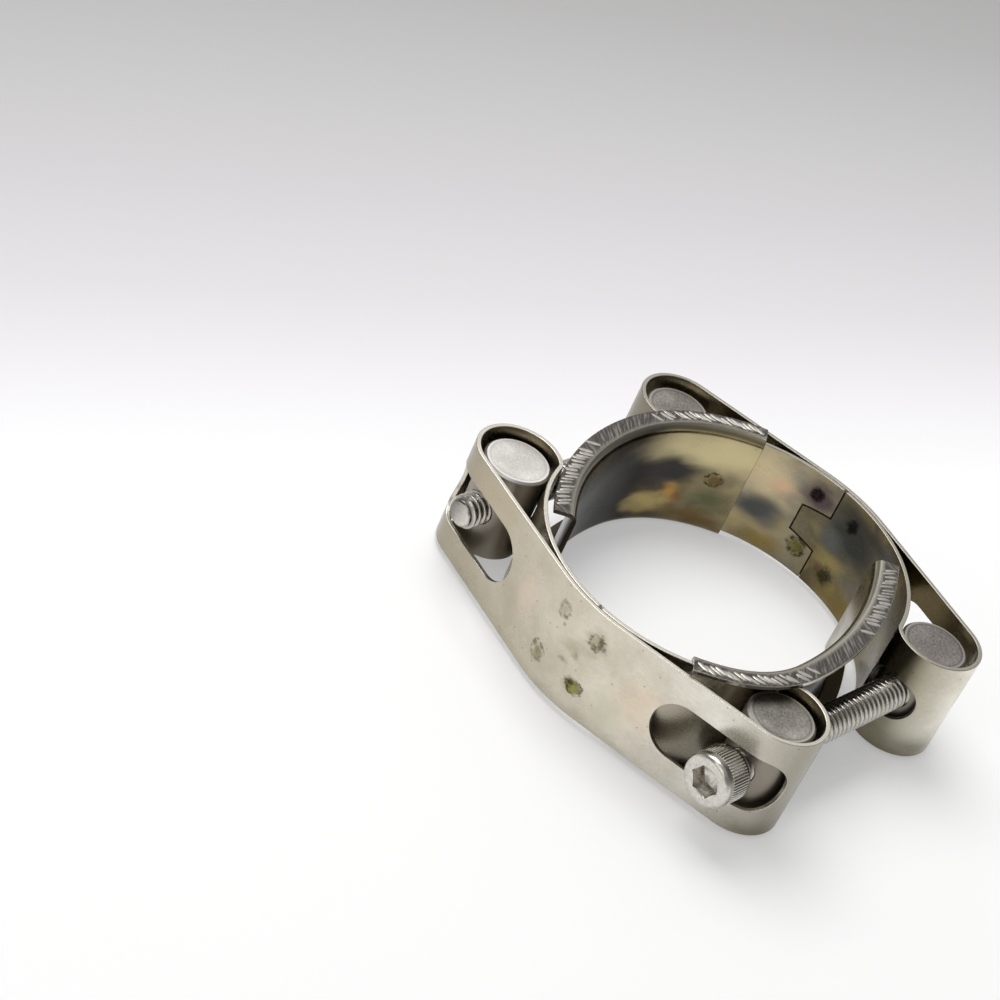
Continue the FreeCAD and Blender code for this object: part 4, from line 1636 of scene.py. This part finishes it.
@dataclass
class Studio:
    """Camera, floor, world and lamps.

    The floor's tones are at distances in mm from the pipe's axis, in the direction away from
    the key lamp, and grey it away from the lamp as painted shade. The sky's are at heights from
    the horizon to overhead. Each soft box has a name, a place and a size in mm, and a power in
    watts, and all aim at one point.
    """

    camera_place: tuple[float, float, float] = (173.66, -360.53, 298.23)
    camera_turn: tuple[float, float, float] = (51.5415, -19.8976, 46.6444)
    lens: float = 98.59
    floor_size: float = 3000.0
    floor_tones: tuple[tuple[float, str], ...] = (
        (0.0, "#ffffff"), (45.0, "#fdfdfe"), (60.0, "#f6f5f7"), (82.0, "#eae7ea"),
        (98.0, "#e0dde0"), (133.0, "#d0ced0"), (172.0, "#c2c1c2"), (216.0, "#b2b1b1"),
        (300.0, "#9e9e9e"))
    floor_away: tuple[float, float, float] = (-0.94, 0.345, 0.0)
    seen_glow: float = 0.34
    mirrored_glow: float = 0.3
    sky_tones: tuple[tuple[float, str], ...] = (
        (0.02, "#f0eeea"), (0.3, "#8e8c8a"), (0.65, "#7c7b7a"), (1.0, "#b0b0b0"))
    boxes: tuple[tuple[str, tuple[float, float, float], float, float], ...] = (
        ("key_box", (-320.0, 60.0, 620.0), 500.0, 3.6),
        ("back_box", (-250.0, 420.0, 360.0), 450.0, 0.5),
        ("fill_box", (60.0, -520.0, 420.0), 500.0, 0.8))
    aim: tuple[float, float, float] = (0.0, 0.0, 10.0)

    def camera(self) -> None:
        """Set the camera where the photograph's was."""
        data = bpy.data.cameras.new("camera")
        data.lens = self.lens
        data.sensor_width = 36.0
        data.clip_start = 0.01
        camera = bpy.data.objects.new("camera", data)
        camera.location = Vector(self.camera_place) * MM
        camera.rotation_euler = Euler([math.radians(turn) for turn in self.camera_turn], "XYZ")
        bpy.context.scene.collection.objects.link(camera)
        bpy.context.scene.camera = camera

    def floor(self) -> None:
        """Lay the pale paper floor: matt, its colour painted bright near the key lamp and greyer
        away from it as painted shade.
        """
        size = self.floor_size
        corners = [(-size, -size, 0), (size, -size, 0), (size, size, 0), (-size, size, 0)]
        floor = mesh_object("floor", np.array(corners, float), [(0, 1, 2, 3)])
        material = bpy.data.materials.new("seamless_paper")
        material.use_nodes = True
        tree = material.node_tree
        shader = tree.nodes["Principled BSDF"]
        shader.inputs["Roughness"].default_value = 0.8
        shader.inputs["Specular IOR Level"].default_value = 0.2
        away = add_node(tree, "ShaderNodeVectorMath", {
            0: add_node(tree, "ShaderNodeTexCoord").outputs["Object"],
            1: tuple(part / MM for part in self.floor_away)}, operation="DOT_PRODUCT")
        colour = graded(tree, away.outputs["Value"], self.floor_tones)
        tree.links.new(colour, shader.inputs["Base Color"])
        glow = add_node(tree, "ShaderNodeEmission", {"Color": colour, "Strength": 1.0})
        rays = add_node(tree, "ShaderNodeLightPath")
        share = add_node(tree, "ShaderNodeMath", {
            0: rays.outputs["Is Camera Ray"], 1: self.seen_glow,
            2: add_node(tree, "ShaderNodeMath", {
                0: rays.outputs["Is Glossy Ray"], 1: self.mirrored_glow},
                operation="MULTIPLY")}, operation="MULTIPLY_ADD")
        mixed = add_node(tree, "ShaderNodeMixShader", {
            0: share, 1: shader.outputs[0], 2: glow.outputs[0]})
        tree.links.new(mixed.outputs[0], tree.nodes["Material Output"].inputs["Surface"])
        floor.data.materials.append(material)

    def world(self) -> None:
        """Fill the room: bright at the horizon, darker above it, a pale ceiling."""
        world = bpy.data.worlds.new("studio")
        world.use_nodes = True
        tree = world.node_tree
        ramp = add_node(tree, "ShaderNodeValToRGB", {0: add_node(
            tree, "ShaderNodeSeparateXYZ", {
                0: add_node(tree, "ShaderNodeTexCoord").outputs["Generated"]}).outputs[2]})
        stops = ramp.color_ramp.elements
        for place, _ in self.sky_tones[1:-1]:
            stops.new(place)
        for stop, (place, tone) in zip(stops, self.sky_tones):
            stop.position = place
            stop.color = linear(tone)
        tree.links.new(ramp.outputs[0], tree.nodes["Background"].inputs["Color"])
        bpy.context.scene.world = world

    def lamps(self) -> None:
        """Hang three large soft boxes: above to the left, behind and in front."""
        for name, place, size, power in self.boxes:
            data = bpy.data.lights.new(name, "AREA")
            data.shape = "SQUARE"
            data.size = size * MM
            data.energy = power
            lamp = bpy.data.objects.new(name, data)
            lamp.location = Vector(place) * MM
            aim = Vector(self.aim) * MM - lamp.location
            lamp.rotation_euler = aim.to_track_quat("-Z", "Y").to_euler()
            bpy.context.scene.collection.objects.link(lamp)

    def build(self) -> None:
        """Set up everything round the object."""
        self.camera()
        self.floor()
        self.world()
        self.lamps()
        bpy.context.scene.view_settings.view_transform = "Standard"


# ---------------------------------------------------------------- the clamp


# Rows of a Stain's values, in its order: place, half size, tint, strength, ring, fray, core.
FRONT_BAND_STAINS_AND_SHADING = (
    (3.5, 6.2, 2.0, 2.1, "#8c8266", 0.5, 0.0, 0.8),
    (3.3, 6.0, 1.9, 2.1, "#6b6450", 0.6, 0.7, 0.6),
    (2.6, 5.0, 0.9, 0.7, "#635c46", 0.7, 0.0, 0.8),
    (3.9, 7.3, 0.8, 0.5, "#635c46", 0.6, 0.0, 0.8),
    (2.2, 3.7, 0.6, 0.7, "#6a6350", 0.6, 0.0, 0.8),
    (4.7, -5.6, 1.5, 2.3, "#7b7447", 0.8, 0.0, 0.6, 0.2),
    (4.9, -5.1, 2.0, 2.3, "#4f4a2b", 0.7, 0.7, 0.8),
    (-4.9, 5.5, 3.4, 3.2, "#969070", 0.7, 0.0, 0.7),
    (-5.4, 5.9, 1.0, 1.7, "#4a4430", 0.85, 0.0, 0.8, 0.2),
    (-4.3, 4.6, 1.9, 0.7, "#4f4934", 0.8, 0.0, 0.9),
    (-5.0, 5.4, 2.2, 2.0, "#3e3826", 0.7, 0.7, 0.8),
    (-4.2, -5.3, 2.4, 2.1, "#7c763a", 1.0, 0.0, 0.6, 0.4),
    (-4.8, -5.6, 1.0, 0.9, "#9c9654", 0.6, 0.0, 0.7, 0.2),
    (-3.5, -4.9, 0.9, 1.2, "#3a341c", 0.9, 0.0, 0.8, 0.2),
    (-4.5, -5.2, 2.1, 2.0, "#2f2a16", 0.9, 0.72, 0.7),
    (-4.4, -0.8, 2.2, 3.4, "#b9b79a", 0.5, 0.0, 0.9),
    (12.0, 1.0, 5.0, 8.0, "#d9c3b2", 0.45, 0.0, 0.5),
    (-11.0, -5.0, 6.0, 6.0, "#c3c5a8", 0.45, 0.0, 0.5),
    (-1.5, 1.4, 4.6, 3.0, "#a59c80", 0.6, 0.0, 0.8),
    (-2.3, 0.2, 1.0, 1.0, "#787156", 0.6, 0.0, 1.0),
    (-0.4, -2.2, 1.6, 0.8, "#7d7659", 0.6, 0.0, 1.0),
    (-16.0, 0.0, 7.0, 9.0, "#d8bfa2", 0.5, 0.0, 0.4),
    # Painted shade: the strip darker up here, where it reflects the floor's shade.
    (28.0, 8.0, 16.0, 5.0, "#b0a48b", 0.6, 0.0, 0.4),
    # Painted shade: the loop's lower part darker, where it reflects the floor's contact shadow.
    (-50.0, -12.0, 26.0, 6.5, "#74715c", 0.9, 0.0, 0.3),
    # Painted shade: darker along the bottom edge, where the face reflects the floor's contact
    # shadow.
    (-4.0, -12.5, 30.0, 4.5, "#a39d88", 0.7, 0.0, 0.3),
)
REAR_BAND_STAINS_AND_SHADING = (
    (-86.0, 5.0, 9.0, 7.0, "#c8b794", 0.9, 0.0, 0.3),
    (-89.0, 4.2, 3.4, 3.0, "#d0ab8d", 0.8, 0.0, 0.4),
    (-86.5, -2.8, 8.5, 4.6, "#4e4e4d", 1.0, 0.0, 0.2, 0.2),
    (-89.5, -4.4, 3.4, 3.0, "#5e6160", 0.5, 0.0, 0.3),
    (-88.5, -9.4, 10.0, 4.4, "#8d7a42", 0.9, 0.0, 0.4),
    (-96.5, 6.4, 5.6, 5.2, "#544a4a", 1.0, 0.0, 0.3, 0.2),
    (97.0, 4.0, 13.0, 9.0, "#3d3d39", 1.0, 0.0, 0.3, 0.2),
    (101.5, 0.5, 5.0, 4.0, "#5b5f5e", 0.7, 0.0, 0.4),
    (99.5, -3.4, 7.0, 3.6, "#8f8153", 0.9, 0.0, 0.4),
    (93.0, -8.6, 11.0, 4.6, "#776638", 0.9, 0.0, 0.4),
    (-98.1, 0.3, 3.2, 3.2, "#2f2a22", 0.8, 0.0, 0.4),
    (-95.6, 6.7, 1.9, 2.0, "#170e10", 1.0, 0.0, 0.25, 0.5),
    (-96.7, -5.6, 2.7, 2.9, "#5d5722", 0.9, 0.0, 0.5, 0.2),
    (-96.7, -5.6, 2.5, 2.6, "#1e1a0c", 0.9, 0.66, 0.5),
    (99.1, 6.2, 2.0, 2.3, "#14110f", 1.0, 0.0, 0.6, 0.3),
    (99.4, -6.5, 2.8, 2.6, "#2b2a18", 1.0, 0.0, 0.6, 0.3),
    (101.4, -6.0, 1.6, 1.4, "#66402f", 0.7, 0.0, 0.6),
    # The last three rows are painted light and shade on the right loop: its lower part darker where
    # it reflects the floor's contact shadow, a pale painted highlight near the hole and painted
    # shade beside it.
    (52.0, -12.0, 26.0, 8.5, "#78745f", 0.9, 0.0, 0.3),
    (44.0, 5.0, 6.0, 5.0, "#c5bda6", 0.6, 0.0, 0.5),
    (59.0, 3.0, 6.0, 9.0, "#8c8672", 0.6, 0.0, 0.4),
)
REAR_LINER_STAINS_AND_SHADING = (
    # The first three rows are painted light and shade on the wall: a pale painted reflection along
    # its upper part, then painted shade where it reflects the band's shaded inside, near black
    # further on.
    (8.0, 7.4, 24.0, 7.0, "#c4b78f", 1.0, 0.0, 0.2, 0.2),
    (16.0, 1.2, 10.0, 4.4, "#3a3838", 1.0, 0.0, 0.3, 0.3),
    (31.0, -1.0, 14.0, 12.0, "#171513", 1.0, 0.0, 0.2, 0.4),
    (5.0, -4.4, 6.0, 5.0, "#5a5d44", 0.9, 0.0, 0.4),
    (13.2, -4.2, 3.0, 3.6, "#b58c4c", 0.9, 0.0, 0.5, 0.1),
    (11.8, -5.8, 2.0, 3.0, "#77452f", 0.7, 0.0, 0.5),
    (17.5, -6.6, 8.0, 3.6, "#b3a06c", 1.0, 0.0, 0.35, 0.2),
    (6.0, -9.4, 9.0, 3.4, "#6b5433", 0.9, 0.0, 0.4),
    (5.9, 0.4, 2.3, 2.0, "#2c2010", 1.0, 0.7, 0.4),
    (5.6, 0.2, 2.2, 1.9, "#5f4d2c", 0.9, 0.0, 0.4, 0.3),
)


def band_looks(half: Half) -> tuple[RolledStrip, tuple[Weld, ...]]:
    """Finish and spot welds of one band. The welds of a layer show on the other one too.

    Args:
        half: The band's half of the clamp.

    Returns:
        The finish and the welds of both layers.
    """
    # Edges and tones are painted light and shade over the steel: the front band's edges pale as a
    # highlight and the rear one's duller, and each strip's tones pale on its straight middle and
    # dark on its loops, darker towards one end of the front band, where the face reflects the
    # floor's shade.
    if half is Half.FRONT:
        outer = ((3.5, 6.2), (4.6, -5.4), (-4.9, 5.5), (-4.2, -5.3))
        edge, temper = "#c9c4b8", ("#948a6c", "#66666a")
        tones = ((-105.0, "#7d745c"), (-66.0, "#7d745c"), (-58.0, "#8f8b80"),
                 (-44.0, "#a09c92"), (-37.0, "#d3cfc5"), (-30.0, "#e4e0d6"),
                 (-12.0, "#e2dcce"), (6.0, "#cdc6b6"), (30.0, "#b7af9d"), (42.0, "#908a7d"),
                 (58.0, "#706b60"), (66.0, "#7d745c"), (105.0, "#7d745c"))
        stains_and_shading = FRONT_BAND_STAINS_AND_SHADING
    else:
        outer = ((-6.2, 6.7), (-5.2, -5.6), (2.8, 6.2), (2.6, -6.5))
        edge, temper = "#a19c91", ("#a8965c", "#5f6068")
        tones = ((-105.0, "#6a624e"), (-94.0, "#958b70"), (-82.0, "#b3a787"),
                 (-66.0, "#857c66"), (-58.0, "#77736a"), (-47.0, "#9d988d"), (-38.0, "#ddd8cb"),
                 (0.0, "#ddd8cb"), (38.0, "#ece8dc"), (47.0, "#ece8dc"), (56.0, "#a8a391"),
                 (66.0, "#7a7058"), (85.0, "#655c46"), (105.0, "#5e563f"))
        stains_and_shading = REAR_BAND_STAINS_AND_SHADING
    # The back face is painted: mid brown as shade on the loops' insides, paler on the inner layer's
    # back as light through the slot.
    finish = RolledStrip(half.name.lower() + "_band_rolled_stainless", tones, "#a0967f",
                         ("#8a8069", "#d5cfc2"), 0.26, tuple(StainAndShading(*row) for row in stains_and_shading),
                         edge=edge, temper=temper)
    band = FoldedBand(half, finish, ())
    inner = tuple((math.copysign(band.on_ring(abs(x)), x), up) for x, up in outer)
    return finish, tuple(Weld(along, up) for along, up in outer + inner)


def liner_finish(half: Half) -> RolledStrip:
    """Finish of one liner: heat tints and a wall painted dark as shade on the rear one, few tints
    on the front one.

    Args:
        half: The liner's half of the clamp.

    Returns:
        The finish.
    """
    if half is Half.REAR:
        # The rear liner's edges are painted dull as shade, and its wall's tones darken along it as
        # painted shade, where it reflects the band's shaded inside.
        cloud, edge, temper = "#4a4334", "#69645a", ("#6f6344", "#3b3c3f")
        tones = ((0.0, "#968b6b"), (9.0, "#897e60"), (15.0, "#5f5848"), (22.0, "#2f2a25"),
                 (34.0, "#181513"), (50.0, "#1a1715"), (61.0, "#3c3832"))
        stains_and_shading = REAR_LINER_STAINS_AND_SHADING
    else:
        cloud, edge, temper = "#6d6450", "#c9c4b8", ("#948a6c", "#6b6a66")
        tones = ((0.0, "#8d8470"), (20.0, "#8d8470"), (36.0, "#a09a86"), (61.0, "#b9b39e"))
        stains_and_shading = ((10.0, 0.0, 9.0, 8.0, "#6e654f", 0.8, 0.0, 0.4),)
    # Both liners' back faces, towards the band, are painted dark as shade.
    return RolledStrip(half.name.lower() + "_liner_rolled_stainless", tones, cloud,
                       ("#3f3a31", "#3f3a31"), 0.24, tuple(StainAndShading(*row) for row in stains_and_shading),
                       flange=("#4a4643", "#86827c"), edge=edge, temper=temper,
                       temper_from=-6.0, cloud_share=0.4, streak=0.15, grit=0.5)


def main() -> None:
    """Build the clamp piece by piece."""
    logging.basicConfig(level=logging.INFO, format="%(message)s")
    Studio().build()
    for half in Half:
        finish, welds = band_looks(half)
        band = FoldedBand(half, finish, welds).build()
        LOG.info("%s: %d corners", band.name, len(band.data.vertices))
    scored = RolledThread("scored_stainless_flange", "#bbb7b0", "#87827b", roughness=0.28)
    # Angle at which each liner leaves its band, then the radii of its spring and free run.
    for half, hug, spring, free in ((Half.REAR, 180.0, 29.0, 44.3),
                                    (Half.FRONT, 142.0, 20.2, 61.0)):
        liner = BridgeLiner(half, liner_finish(half), hug, spring, free)
        channel = liner.build()
        marks = FlangeMarks(half, liner, scored, seed=11).build()
        piece = joined(half.name.lower() + "_bridge_liner", [channel, marks])
        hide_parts(half.name.lower() + "_liner")
        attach(piece, half.body)
        LOG.info("%s: %d corners", piece.name, len(piece.data.vertices))
    thread = RolledThread("bright_stainless_screw", "#dedbd5", "#bfbab1", roughness=0.18)
    for half in Half:
        screw = SocketScrew(half, thread).build()
        LOG.info("%s: %d corners", screw.name, len(screw.data.vertices))
    # The barrels keep their CAD solids. Only their greys and how cloudy they are differ, and the
    # greys are painted light and shade: the front threaded barrel pale, the others darker.
    for name, pale, deep, cloudy in (
            ("front_threaded_barrel", "#dad7d3", "#b0aca7", 0.25),
            ("front_plain_barrel", "#b3afa9", "#6a665f", 0.25),
            ("rear_threaded_barrel", "#a5a09c", "#595450", 0.12),
            ("rear_plain_barrel", "#a8a39c", "#625e58", 0.2)):
        low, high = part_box(name)
        centre = (low + high) / 2 / MM
        bar = TurnedBar(name + "_turned_steel", pale, deep, side="#968f84", roughness=0.37,
                        centre=(centre[0], centre[1]), radius=(high[0] - low[0]) / 2 / MM,
                        cloudy=cloudy)
        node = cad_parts[name]
        node.data.materials.clear()
        node.data.materials.append(bar.material())


if __name__ == "__main__":
    main()
